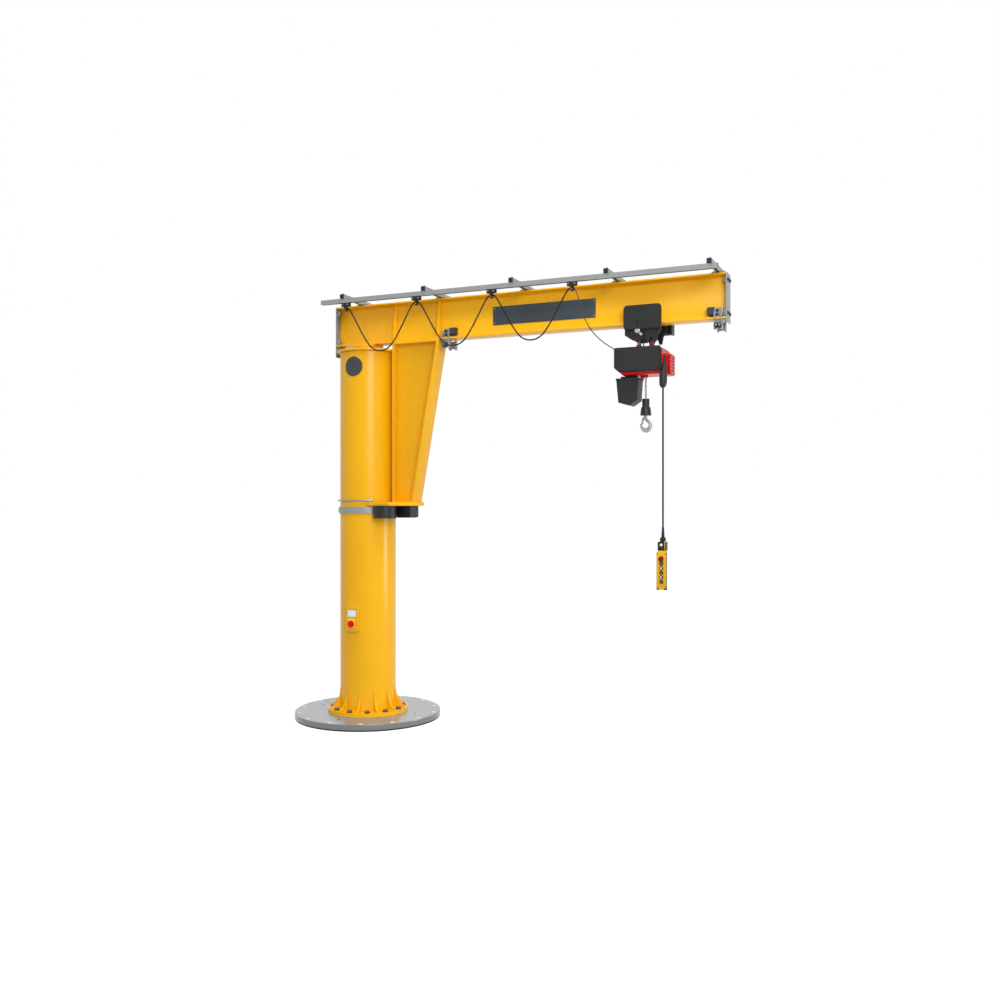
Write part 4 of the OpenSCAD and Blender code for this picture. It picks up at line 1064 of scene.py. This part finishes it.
# ---------------------------------------------------------------------------
# Arm
# ---------------------------------------------------------------------------
@dataclass
class Arm:
    """I-section arm with bracket, end plates, sign, end stops, rail and cross-arms."""

    frame: dict
    under: float = 2.826
    top: float = 3.126
    half_w: float = 0.0625
    web: float = 0.0054
    tip_x: float = 2.736
    rear_x: float = -0.252
    plate_bolts_z: tuple[float, float] = (2.864, 3.083)
    plate_bolts_y: float = 0.0314
    plate_bolt_across: float = 0.020
    plate_bolt_h: float = 0.0065
    plate_washer_r: float = 0.0125
    plate_washer_t: float = 0.002
    rear_tab_z: float = 2.765
    cross_x0: float = -0.015
    cross_pitch: float = 0.674
    cross_count: int = 5
    cross_top: float = 3.1563
    rail_y: float = -0.320
    stop_x: tuple[float, float] = (0.668, 2.652)
    stop_l: float = 0.056
    stud_z: float = 2.784
    stud_in: float = 0.017
    stud_washer_r: float = 0.0165
    stud_nut_across: float = 0.0275
    stud_nut_h: float = 0.012
    stop_bolt_up: tuple[float, float] = (0.034, 0.060)
    stop_bolt_y: float = 0.0284
    stop_bolt_across: float = 0.017
    sign_x: tuple[float, float] = (1.050, 1.827)
    sign_z: tuple[float, float] = (2.9055, 3.0385)
    sign_y: float = -0.0084
    foot_top: float = 1.632
    bracket_x: tuple[float, float] = (0.250, 0.268)
    bracket_half: float = 0.070
    foot_bead_x: float = 0.406
    stiffener_x: tuple[float, ...] = (0.250, 0.268, 0.618, 0.636)

    def build_steel(self) -> None:
        """Shows the welded steelwork of the arm."""
        refine(self.frame, "jib_beam", POWDER_YELLOW, "jib", 1.2 * MM)
        refine(self.frame, "bracket", POWDER_YELLOW, "jib", 1.2 * MM)
        refine(self.frame, "foot_plate", POWDER_YELLOW, "jib", 1.5 * MM)
        refine(self.frame, "roller_housing", BLACK_ENAMEL, "jib", 0.0)
        refine(self.frame, "guide_rollers", WHEEL_STEEL, "jib", 1.0 * MM)
        refine(self.frame, "tie_rod", ZINC_BOLT, "jib", 0.0)
        refine(self.frame, "end_plates", ZINC_PLATE, "jib", 0.8 * MM)
        refine(self.frame, "sign_plate", SLATE, "jib", 0.8 * MM)
        refine(self.frame, "end_stops", ZINC_PLATE, "jib", 0.0)
        refine(self.frame, "stop_buffers", RUBBER, "jib", 1.5 * MM)
        paint(self.frame, "festoon_rail", ZINC_STRIP)
        refine(self.frame, "festoon_arms", ZINC_STRIP, "jib", 0.0)
        refine(self.frame, "arm_caps", NYLON, "jib", 1.2 * MM)

    def build_plate_bolts(self) -> None:
        """Adds the bolts of both end plates."""
        bm = bmesh.new()
        for x, sign in ((self.tip_x, 1), (self.rear_x, -1)):
            for z in self.plate_bolts_z:
                for y in (-self.plate_bolts_y, self.plate_bolts_y):
                    add_drum(bm, (x, y, z), Axis.X, self.plate_washer_r, self.plate_washer_t, sign,
                             sides=32, edge=0.4 * MM)
                    add_bolt(bm, (x + sign * self.plate_washer_t, y, z), Axis.X, self.plate_bolt_across,
                             self.plate_bolt_h, sign)
        for y in (-self.plate_bolts_y, self.plate_bolts_y):
            add_bolt(bm, (self.rear_x, y, self.rear_tab_z), Axis.X, self.plate_bolt_across,
                     self.plate_bolt_h, -1)
        keep("end_plate_bolts", bm, DARK_NUT, "jib")

    def build_stop_nuts(self) -> None:
        """Adds the clamping nuts and the bolts of the end stops."""
        bm = bmesh.new()
        for x0 in self.stop_x:
            for x in (x0 + self.stud_in, x0 + self.stop_l - self.stud_in):
                for side in (-1, 1):
                    add_drum(bm, (x, side * (self.half_w + 0.0035), self.stud_z), Axis.Y,
                             self.stud_washer_r, 0.0025, side, sides=32, edge=0.4 * MM)
                    add_bolt(bm, (x, side * (self.half_w + 0.006), self.stud_z), Axis.Y,
                             self.stud_nut_across, self.stud_nut_h, side, stud=0.004)
            for up in self.stop_bolt_up:
                for side in (-1, 1):
                    add_bolt(bm, (x0 + self.stud_in, side * self.stop_bolt_y, self.under + up), Axis.Y,
                             self.stop_bolt_across, 0.007, side)
        keep("end_stop_nuts", bm, DARK_NUT, "jib")

    def build_cross_clamps(self) -> None:
        """Clamps each cross-arm to the top flange, and the rail under it."""
        clips, bolts = bmesh.new(), bmesh.new()
        for i in range(self.cross_count):
            x = self.cross_x0 + i * self.cross_pitch
            for side in (-1, 1):
                y0, y1 = side * (self.half_w - 0.022), side * (self.half_w + 0.004)
                for shift in (-1, 1):
                    cx = x + shift * 0.030
                    add_block(clips, (cx - 0.014, min(y0, y1), self.top + 0.0004),
                              (cx + 0.014, max(y0, y1), self.top + 0.0060), 0.8 * MM)
                    add_bolt(bolts, (cx, side * (self.half_w - 0.010), self.top + 0.006), Axis.Z, 0.013,
                             0.006)
            add_drum(bolts, (x, self.rail_y, self.cross_top), Axis.Z, 0.0110, 0.002, sides=28, edge=0.4 * MM)
            add_bolt(bolts, (x, self.rail_y, self.cross_top + 0.002), Axis.Z, 0.016, 0.006, stud=0.003)
        keep("cross_arm_clips", clips, ZINC_STRIP, "jib")
        keep("cross_arm_bolts", bolts, ZINC_BOLT, "jib")

    def build_sign_rivets(self) -> None:
        """Fixes the bare board with four rivets."""
        bm = bmesh.new()
        for x in (self.sign_x[0] + 0.014, self.sign_x[1] - 0.014):
            for z in (self.sign_z[0] + 0.014, self.sign_z[1] - 0.014):
                add_drum(bm, (x, self.sign_y, z), Axis.Y, 0.0050, 0.0018, -1, sides=24, top=0.0032)
        keep("sign_rivets", bm, ZINC_BOLT, "jib")

    def build_beads(self) -> None:
        """Lays the fillet welds of the bracket and of the arm's stiffeners."""
        routes = []
        x0, x1 = self.bracket_x
        hw = self.bracket_half
        for z in (self.foot_top + 1 * MM, self.under - 1 * MM):
            routes.append([Vector((x0 - 1 * MM, -hw, z)), Vector((x0 - 1 * MM, hw, z))])
            routes.append([Vector((x1, -hw - 1 * MM, z)), Vector((x0, -hw - 1 * MM, z))])
            routes.append([Vector((x1, hw + 1 * MM, z)), Vector((x0, hw + 1 * MM, z))])
        for side in (-1, 1):
            routes.append([Vector((x1 + 1 * MM, side * 6 * MM, self.foot_top + 6 * MM)),
                           Vector((x1 + 1 * MM, side * 6 * MM, self.under - 22 * MM))])
            routes.append([Vector((x1 + 4 * MM, side * 6 * MM, self.foot_top + 1.5 * MM)),
                           Vector((self.foot_bead_x, side * 6 * MM, self.foot_top + 1.5 * MM))])
            for x in self.stiffener_x:
                routes.append([Vector((x, side * (self.web + 1 * MM), self.under + 30 * MM)),
                               Vector((x, side * (self.web + 1 * MM), self.top - 30 * MM))])
        keep("arm_beads", tube("arm_beads", routes, 3.6 * MM, fineness=2), POWDER_WELD, "jib",
             60)

    def build_carriers(self) -> None:
        """Shows the fixed clamp and the three carriers, with their clamp screws."""
        refine(self.frame, "end_clamp", NYLON, "jib", 0.8 * MM)
        for number in (1, 2, 3):
            refine(self.frame, f"carrier_{number}", NYLON, f"festoon_car_{number}", 0.8 * MM)
        for node, body in (("end_clamp", "jib"), ("carrier_1", "festoon_car_1"),
                           ("carrier_2", "festoon_car_2"), ("carrier_3", "festoon_car_3")):
            low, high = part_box(node)
            x = (low[0] + high[0]) / 2
            bm = bmesh.new()
            for shift in (-0.022, 0.022):
                add_bolt(bm, (x + shift, self.rail_y - 0.015, 3.080), Axis.Y, 0.010, 0.004, -1)
            add_bolt(bm, (x, self.rail_y - 0.013, 3.043), Axis.Y, 0.008, 0.003, -1)
            keep(f"{node}_screws", bm, ZINC_BOLT, body)

    def build(self) -> None:
        """Builds the whole arm."""
        self.build_steel()
        self.build_plate_bolts()
        self.build_stop_nuts()
        self.build_cross_clamps()
        self.build_sign_rivets()
        self.build_beads()
        self.build_carriers()


# ---------------------------------------------------------------------------
# Trolley and hoist
# ---------------------------------------------------------------------------
@dataclass
class Trolley:
    """Trolley with its covers and motor, and the chain hoist under it."""

    frame: dict
    lift_x: float = 2.180
    under: float = 2.826
    cover_y: float = 0.0995
    cover_x: tuple[float, float] = (2.0515, 2.3085)
    cover_z: tuple[float, float] = (2.786, 2.952)
    cover_screw_r: float = 0.0052
    hoist_screw_r: float = 0.0055
    cowl_screw_r: float = 0.0048
    bin_screw_r: float = 0.0042
    screw_h: float = 0.003
    small_screw_h: float = 0.0025
    plate_y: float = 0.0775
    pin_at: tuple[float, float] = (2.147, 2.781)
    hoist_x: tuple[float, float] = (1.994, 2.317)
    hoist_z: tuple[float, float] = (2.505, 2.668)
    hoist_y: float = -0.1293
    rim_y: tuple[float, float] = (-0.1042, -0.1098)
    cowl_x: float = 2.358
    cowl_y: tuple[float, float] = (-0.040, 0.090)
    cowl_z: tuple[float, float] = (2.483, 2.625)
    ear_x: float = 0.045
    ear_z: float = 2.6815
    ear_r: float = 0.0165
    ear_y: float = 0.0185
    ear_t: float = 0.0065
    cheek_half: float = 0.0064
    cheek_foot: float = 0.0115
    fan_y: float = 0.1455
    fan_z: float = 2.812
    slat_half: float = 0.023
    lid_screw_x: tuple[float, float] = (0.066, 0.116)
    lid_screw_y: tuple[float, float] = (0.1255, 0.1655)
    bin_x: tuple[float, float] = (1.988, 2.146)
    bin_z: float = 2.470
    bin_y: float = 0.062
    slots: int = 5
    slot_pitch: float = 0.020

    def build_shell(self) -> None:
        """Shows the trolley's and the hoist's own solids."""
        refine(self.frame, "trolley_frame", BLACK_ENAMEL, "trolley", 0.0)
        refine(self.frame, "trolley_covers", BLACK_ABS, "trolley", 0.0)
        refine(self.frame, "trolley_wheels", WHEEL_STEEL, "trolley", 0.0)
        refine(self.frame, "trolley_motor", BLACK_ENAMEL, "trolley", 0.0)
        refine(self.frame, "hoist_body", CAST_RED, "trolley", 0.0)
        refine(self.frame, "hoist_cover", BLACK_ABS, "trolley", 0.0)
        refine(self.frame, "hoist_pins", ZINC_BOLT, "trolley", 0.0)
        refine(self.frame, "chain_box", BLACK_ABS, "trolley", 0.0)

    def build_pin(self) -> None:
        """Adds the bright pin and its locking tab on the front side plate."""
        x, z = self.pin_at
        bm = bmesh.new()
        add_drum(bm, (x, -self.plate_y, z), Axis.Y, 0.0180, 0.018, -1, sides=40, edge=1.5 * MM)
        add_drum(bm, (x, -self.plate_y - 0.018, z), Axis.Y, 0.0100, 0.003, -1, sides=28, edge=0.6 * MM)
        before = set(bm.verts)
        add_block(bm, (-0.008, -self.plate_y - 0.006, -0.042), (0.008, -self.plate_y - 0.001, 0.0), 1.2 * MM)
        made = [v for v in bm.verts if v not in before]
        bmesh.ops.rotate(bm, verts=made, cent=(0, 0, 0), matrix=Matrix.Rotation(math.radians(-42), 3, "Y"))
        bmesh.ops.translate(bm, verts=made, vec=(x, 0, z))
        keep("trolley_pin", bm, BRIGHT_PIN, "trolley")

    def build_screws(self) -> None:
        """Adds the screws of the trolley's covers, the hoist's cover and its cowl."""
        bm = bmesh.new()
        x0, x1 = self.cover_x
        z0, z1 = self.cover_z
        for side in (-1, 1):
            y = side * (self.cover_y + 0.0002)
            for x in (x0 + 0.022, (x0 + x1) / 2, x1 - 0.022):
                for z in (z0 + 0.016, z1 - 0.016):
                    add_drum(bm, (x, y, z), Axis.Y, self.cover_screw_r, self.screw_h, side, sides=24,
                             edge=0.6 * MM)
        (left, right), (foot, head) = self.hoist_x, self.hoist_z
        for x, z in ((left + 0.020, head - 0.018), (right - 0.026, head - 0.018),
                     (left + 0.044, foot + 0.018), (right - 0.022, foot + 0.022),
                     (self.lift_x - 0.020, head - 0.018), (self.lift_x - 0.020, foot + 0.018)):
            add_drum(bm, (x, self.hoist_y, z), Axis.Y, self.hoist_screw_r, self.screw_h, -1, sides=24,
                     edge=0.6 * MM)
        for y in (self.cowl_y[0] + 0.016, self.cowl_y[1] - 0.016):
            for z in (self.cowl_z[0] + 0.016, self.cowl_z[1] - 0.016):
                add_drum(bm, (self.cowl_x, y, z), Axis.X, self.cowl_screw_r, self.small_screw_h, 1,
                         sides=24, edge=0.5 * MM)
        for x in (self.bin_x[0] + 0.016, self.bin_x[1] - 0.016):
            add_drum(bm, (x, -self.bin_y, self.bin_z - 0.007), Axis.Y, self.bin_screw_r,
                     self.small_screw_h, -1, sides=24, edge=0.5 * MM)
        keep("cover_screws", bm, DARK_NUT, "trolley")

    def build_ears(self) -> None:
        """Adds the red cheeks of the casting that stand outside the suspension links' lower pins."""
        bm = bmesh.new()
        for x in (self.lift_x - self.ear_x, self.lift_x + self.ear_x):
            for side in (-1, 1):
                y = side * self.ear_y
                add_drum(bm, (x, y, self.ear_z), Axis.Y, self.ear_r, self.ear_t, side, sides=40,
                         edge=1.2 * MM)
                far = y + side * self.cheek_half
                add_block(bm, (x - self.ear_r, min(y, far), self.hoist_z[1] - self.cheek_foot),
                          (x + self.ear_r, max(y, far), self.ear_z), 1.2 * MM)
        keep("hoist_ear_cheeks", bm, CAST_RED, "trolley")

    def build_cover_seam(self) -> None:
        """Adds the thin red rim of the casting round the front cover."""
        x0, x1 = self.hoist_x
        z0, z1 = self.hoist_z
        y0, y1 = self.rim_y
        bm = bmesh.new()
        corners = ((x0 + 0.034, z0), (x1 - 0.005, z0), (x1, z0 + 0.009), (x1, z1 - 0.021))
        for (ax, az), (bx, bz) in zip(corners, corners[1:]):
            direction = Vector((bx - ax, 0, bz - az)).normalized()
            out = Vector((direction.z, 0, -direction.x))
            a, b = Vector((ax, 0, az)), Vector((bx, 0, bz))
            before = set(bm.verts)
            length = (b - a).length + 1.2 * MM
            add_block(bm, (-0.6 * MM, y1, -0.0001), (length, y0, 0.0036), 0.6 * MM)
            made = [v for v in bm.verts if v not in before]
            frame3 = Matrix((direction, Vector((0, 1, 0)), out)).transposed()
            bmesh.ops.transform(bm, matrix=Matrix.Translation(a) @ frame3.to_4x4(), verts=made)
        bmesh.ops.recalc_face_normals(bm, faces=bm.faces)
        keep("cover_rim", bm, CAST_RED, "trolley")

    def build_slot_shade(self) -> None:
        """Paints shade into the slots in the end of the cowl: a dark recessed panel in each."""
        # Painted shade: a dark panel behind each slot.
        bm = bmesh.new()
        for i in range(self.slots):
            z = self.cowl_z[0] + 0.0275 + i * self.slot_pitch
            add_block(bm, (self.cowl_x - 0.0059, self.cowl_y[0] + 0.0225, z),
                      (self.cowl_x - 0.0035, self.cowl_y[1] - 0.0225, z + 0.006))
        keep("cowl_slot_painted_shade", bm, NYLON, "trolley")

    def build_motor_trim(self) -> None:
        """Adds lid screws to the motor's terminal box and slats to the end of its cowl."""
        high = Vector(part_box("trolley_motor")[1])
        bm = bmesh.new()
        for x in self.lid_screw_x:
            for y in self.lid_screw_y:
                add_drum(bm, (self.lift_x + x, y, high.z), Axis.Z, 0.0040, self.small_screw_h, sides=24,
                         edge=0.5 * MM)
        for row in range(-2, 3):
            z = self.fan_z + row * 0.010
            add_block(bm, (high.x, self.fan_y - self.slat_half, z - 0.0022),
                      (high.x + 0.0016, self.fan_y + self.slat_half, z + 0.0022), 0.4 * MM)
        keep("motor_trim", bm, DARK_NUT, "trolley")

    def build(self) -> None:
        """Builds trolley and hoist."""
        self.build_shell()
        self.build_pin()
        self.build_screws()
        self.build_ears()
        self.build_cover_seam()
        self.build_slot_shade()
        self.build_motor_trim()


# ---------------------------------------------------------------------------
# Chain, block and hook
# ---------------------------------------------------------------------------
@dataclass
class LiftingGear:
    """Load chain with its stored length, hook block, forged hook and latch."""

    frame: dict
    lift_x: float = 2.180
    wire: float = 0.005
    pitch: float = 0.015
    lowest: float = 2.3228
    shown: int = 11
    bowl_z: float = -0.066
    bowl_r: float = 0.030
    tip_turn: float = 194.0
    shank_r: float = 0.010
    shank_l: float = 0.052
    neck: float = 0.018
    store_low: float = 2.490
    store_high: float = 2.655
    lowering: float = 2.0

    def link_route(self, height: float, turned: bool) -> list[Vector]:
        """Draws the closed centreline of one link.

        Args:
            height: Height of its middle.
            turned: Whether it lies across the other links.

        Returns:
            Points of the centreline.
        """
        r = self.wire * 1.15
        h = self.pitch / 2 - r + self.wire / 2
        points = []
        for centre, start in ((h, 0), (-h, 180)):
            for step in range(0, 181, 30):
                angle = math.radians(start + step)
                points.append((r * math.cos(angle), centre + r * math.sin(angle)))
        if turned:
            return [Vector((self.lift_x, a, height + b)) for a, b in points]
        return [Vector((self.lift_x + a, 0, height + b)) for a, b in points]

    def build_shown_chain(self) -> None:
        """Adds the links between block and hoist; they travel with the block."""
        routes = [self.link_route(self.lowest + i * self.pitch, i % 2 == 1) for i in range(self.shown)]
        links = tube("load_chain_shown", routes, self.wire / 2, closed=True, fineness=2)
        piece = keep("load_chain_shown", links, CHAIN, "bottom_block", 60)
        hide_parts("load_chain")

    def rest_height(self, low: float) -> float:
        """Finds where a point of the stored chain lies at rest.

        Args:
            low: Its height when the hook is fully lowered.

        Returns:
            Its height at rest, inside the hoist.
        """
        bottom, top = self.store_low, self.store_high
        for _ in range(40):
            middle = (bottom + top) / 2
            t = min(max((self.store_high - middle) / (self.store_high - self.store_low), 0), 1)
            if middle - self.lowering * t * t * (3 - 2 * t) < low:
                bottom = middle
            else:
                top = middle
        return (bottom + top) / 2

    def build_stored_chain(self) -> None:
        """Adds the length that waits inside the hoist.

        It is drawn as it hangs when fully lowered and then brought to its place inside the
        casting, so that it is at its true pitch at the lowest position of the hook.
        """
        first = self.lowest + self.shown * self.pitch - self.lowering
        count = int((self.store_high - first) / self.pitch)
        routes = [self.link_route(first + i * self.pitch, (self.shown + i) % 2 == 1) for i in range(count)]
        bm = tube("load_chain_stored", routes, self.wire / 2, closed=True, fineness=1)
        for vert in bm.verts:
            vert.co.z = self.rest_height(vert.co.z)
        piece = free_piece("load_chain_stored", bm, CHAIN)
        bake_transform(piece)

    def hook_bar(self) -> tuple[list[Vector], list[float]]:
        """Draws the hook's bar.

        Returns:
            Its centreline, and its half depth at each point.
        """
        points = [Vector((0, 0, -0.012)), Vector((0, 0, -0.0165)), Vector((0, 0, -0.0195)),
                  Vector((0.0008, 0, -0.0235)), Vector((0.005, 0, -0.030)), Vector((0.013, 0, -0.038))]
        halves = [0.0084, 0.0090, 0.0100, 0.0105, 0.0106, 0.0106]
        for step in range(37):
            a = -40 + step * (self.tip_turn + 40) / 36
            swell = math.sin(math.pi * min(max((a + 40) / 215, 0), 1)) ** 2
            reach = self.bowl_r + 0.004 * max(0, a - 140) / (self.tip_turn - 140) + 0.004 * swell
            thick = 0.010 + (0.0025 * (a + 40) / 140 if a < 100
                             else 0.0025 - 0.0065 * (a - 100) / (self.tip_turn - 100)) + 0.0045 * swell
            turn = math.radians(a)
            points.append(Vector((reach * math.cos(turn), 0, self.bowl_z - reach * math.sin(turn))))
            halves.append(thick)
        tip = points[-1]
        points += [tip + Vector((0.0011, 0, 0.0028)), tip + Vector((0.0017, 0, 0.0042))]
        halves += [0.0044, 0.0022]
        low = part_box("hook_block")[0]
        root = Vector((self.lift_x, 0, low[2]))
        return [root + p for p in points], halves

    def build_hook_bar(self) -> None:
        """Forges the hook: a round shank, and a bar that is deepest under the load."""
        points, halves = self.hook_bar()
        bm = bmesh.new()
        sides, flat = 24, 0.82
        ring: list[bmesh.types.BMEdge] = []
        for i, (at, half) in enumerate(zip(points, halves)):
            ahead = (points[min(i + 1, len(points) - 1)] - points[max(i - 1, 0)]).normalized()
            across = ahead.cross(Vector((0, 1, 0)))
            width = min(half, 0.0107) if half < 0.0108 else 0.0107 + (half - 0.0107) * (1 - flat)
            place = Matrix.Translation(at) @ Matrix((across, Vector((0, 1, 0)), ahead)).transposed().to_4x4()
            made = bmesh.ops.create_circle(bm, cap_ends=i in (0, len(points) - 1), segments=sides, radius=1,
                                           matrix=place @ Matrix.Diagonal((half, width, 1, 1)))
            edges = [e for e in bm.edges if all(v in made["verts"] for v in e.verts)]
            if ring:
                bmesh.ops.bridge_loops(bm, edges=ring + edges)
            ring = edges
        bmesh.ops.recalc_face_normals(bm, faces=bm.faces)
        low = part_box("hook_block")[0]
        add_drum(bm, (self.lift_x, 0, low[2] - self.neck), Axis.Z, self.shank_r, self.shank_l, sides=40,
                 edge=0.8 * MM)
        piece = keep("hook_forging", bm, FORGED, "swivel_hook", 60)
        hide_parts("hook")

    def build_hook(self) -> None:
        """Shows block, hook and latch."""
        refine(self.frame, "hook_block", BLACK_ENAMEL, "bottom_block", 1.2 * MM)
        self.build_hook_bar()
        refine(self.frame, "hook_latch", FORGED, "safety_latch", 0.0)
        high = Vector(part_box("hook_block")[1])
        bm = bmesh.new()
        for side in (-1, 1):
            add_drum(bm, (self.lift_x, side * 0.0240, high.z - 0.034), Axis.Y, 0.0070, 0.0035, side, sides=28,
                     edge=0.6 * MM)
        keep("block_screws", bm, DARK_NUT, "bottom_block")

    def build(self) -> None:
        """Builds chain, block and hook."""
        self.build_shown_chain()
        self.build_stored_chain()
        self.build_hook()


# ---------------------------------------------------------------------------
# Pendant
# ---------------------------------------------------------------------------
@dataclass
class Pendant:
    """Hanging push-button control with its head, bail and six buttons."""

    frame: dict
    at_x: float = 2.3283
    at_y: float = -0.115
    face_y: float = -0.157
    bottom: float = 1.059
    button_z0: float = 1.111
    button_pitch: float = 0.030
    head: tuple[float, float] = (1.315, 1.371)
    white_mark_r: float = 0.0062
    grey_mark_r: float = 0.0036
    lamp_z: float = 1.352
    lamp_r: float = 0.0095
    bumper_x: float = 0.024
    bumper_half: float = 0.0085
    screw_x: float = 0.026
    screw_up: tuple[float, float] = (0.020, 0.234)

    def build_body(self) -> None:
        """Shows the two shells and adds head trim, bumpers and screws."""
        refine(self.frame, "pendant", PENDANT_SHELL, "trolley", 1.2 * MM)
        bm = bmesh.new()
        x, y = self.at_x, self.at_y
        low, high = self.head
        for near, far, edge in (
                ((x + 0.0175, y - 0.031, low - 0.002), (x + 0.0215, y + 0.010, high + 0.006), 0.8),
                ((x + 0.0175, y - 0.031, low - 0.006), (x + 0.0300, y + 0.006, low - 0.002), 0.8),
                ((x - 0.0290, y - 0.029, low), (x - 0.0268, y + 0.014, high + 0.001), 0.6)):
            add_block(bm, near, far, edge * MM)
        keep("pendant_bail", bm, PENDANT_YELLOW, "trolley")
        bm = bmesh.new()
        for side in (-1, 1):
            mid = x + side * self.bumper_x
            add_block(bm, (mid - self.bumper_half, self.face_y - 0.0008, self.bottom - 0.0015),
                      (mid + self.bumper_half, self.face_y + 0.030, self.bottom + 0.009), 1.5 * MM)
        keep("pendant_bumpers", bm, NYLON, "trolley")
        bm = bmesh.new()
        for sx in (-self.screw_x, self.screw_x):
            for up in self.screw_up:
                add_drum(bm, (x + sx, self.face_y, self.bottom + up), Axis.Y, 0.0032, 0.0012, -1, sides=20,
                         edge=0.3 * MM)
        keep("pendant_screws", bm, DARK_NUT, "trolley")
        bm = bmesh.new()
        add_drum(bm, (x - 0.004, y - 0.030, self.lamp_z), Axis.Y, self.lamp_r, 0.004, -1, sides=36,
                 edge=1.0 * MM)
        keep("pendant_lamp", bm, BUTTON_WHITE, "trolley")

    def build_buttons(self) -> None:
        """Turns bezels, caps and the red stop button."""
        bezels, dark, white, grey = (bmesh.new() for _ in range(4))
        for i in range(5):
            at = (self.at_x, self.face_y - 0.0003, self.button_z0 + i * self.button_pitch)
            spin_profile(bezels, [(0, 0), (0.0130, 0), (0.0130, 0.0030), (0.0120, 0.0046), (0.0108, 0.0050),
                                  (0.0102, 0.0040), (0.0102, 0.0020), (0, 0.0020)], at, Axis.Y, -1, 36)
            spin_profile(dark, [(0, 0.0022), (0.0094, 0.0022), (0.0094, 0.0076), (0.0086, 0.0088),
                                (0.0070, 0.0084), (0, 0.0084)], at, Axis.Y, -1, 36)
            mark, radius = (white, self.white_mark_r) if i in (1, 3) else (grey, self.grey_mark_r)
            spin_profile(mark, [(0, 0.0080), (radius, 0.0080), (radius, 0.0087), (0, 0.0089)],
                         at, Axis.Y, -1, 30)
        ring = keep("button_bezels", bezels, NYLON, "trolley")
        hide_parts("pendant_buttons")
        keep("button_caps", dark, BUTTON_DARK, "trolley")
        keep("button_marks_white", white, BUTTON_WHITE, "trolley")
        keep("button_marks_grey", grey, WINDOW_FRAME, "trolley")
        bm = bmesh.new()
        at = (self.at_x, self.face_y - 0.0003, self.button_z0 + 5 * self.button_pitch)
        spin_profile(bm, [(0, 0), (0.0118, 0), (0.0118, 0.0052), (0.0162, 0.0062), (0.0178, 0.0080),
                          (0.0178, 0.0104), (0.0164, 0.0124), (0.0110, 0.0134), (0, 0.0137)],
                     at, Axis.Y, -1, 44)
        keep("stop_button", bm, STOP_RED, "trolley", 50)

    def build(self) -> None:
        """Builds the pendant."""
        self.build_body()
        self.build_buttons()


def main() -> None:
    """Builds the scene in order."""
    logging.basicConfig(level=logging.INFO, format="%(name)s %(message)s")
    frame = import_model()
    studio = Studio()
    studio.build_camera()
    Festoon().build()
    lead = PendantLead()
    lead.build_lead()
    lead.build_motor_lead()
    studio.build()
    for assembly in (Pillar(frame), Arm(frame), Trolley(frame), LiftingGear(frame), Pendant(frame)):
        assembly.build()
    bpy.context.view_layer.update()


if __name__ == "__main__":
    main()
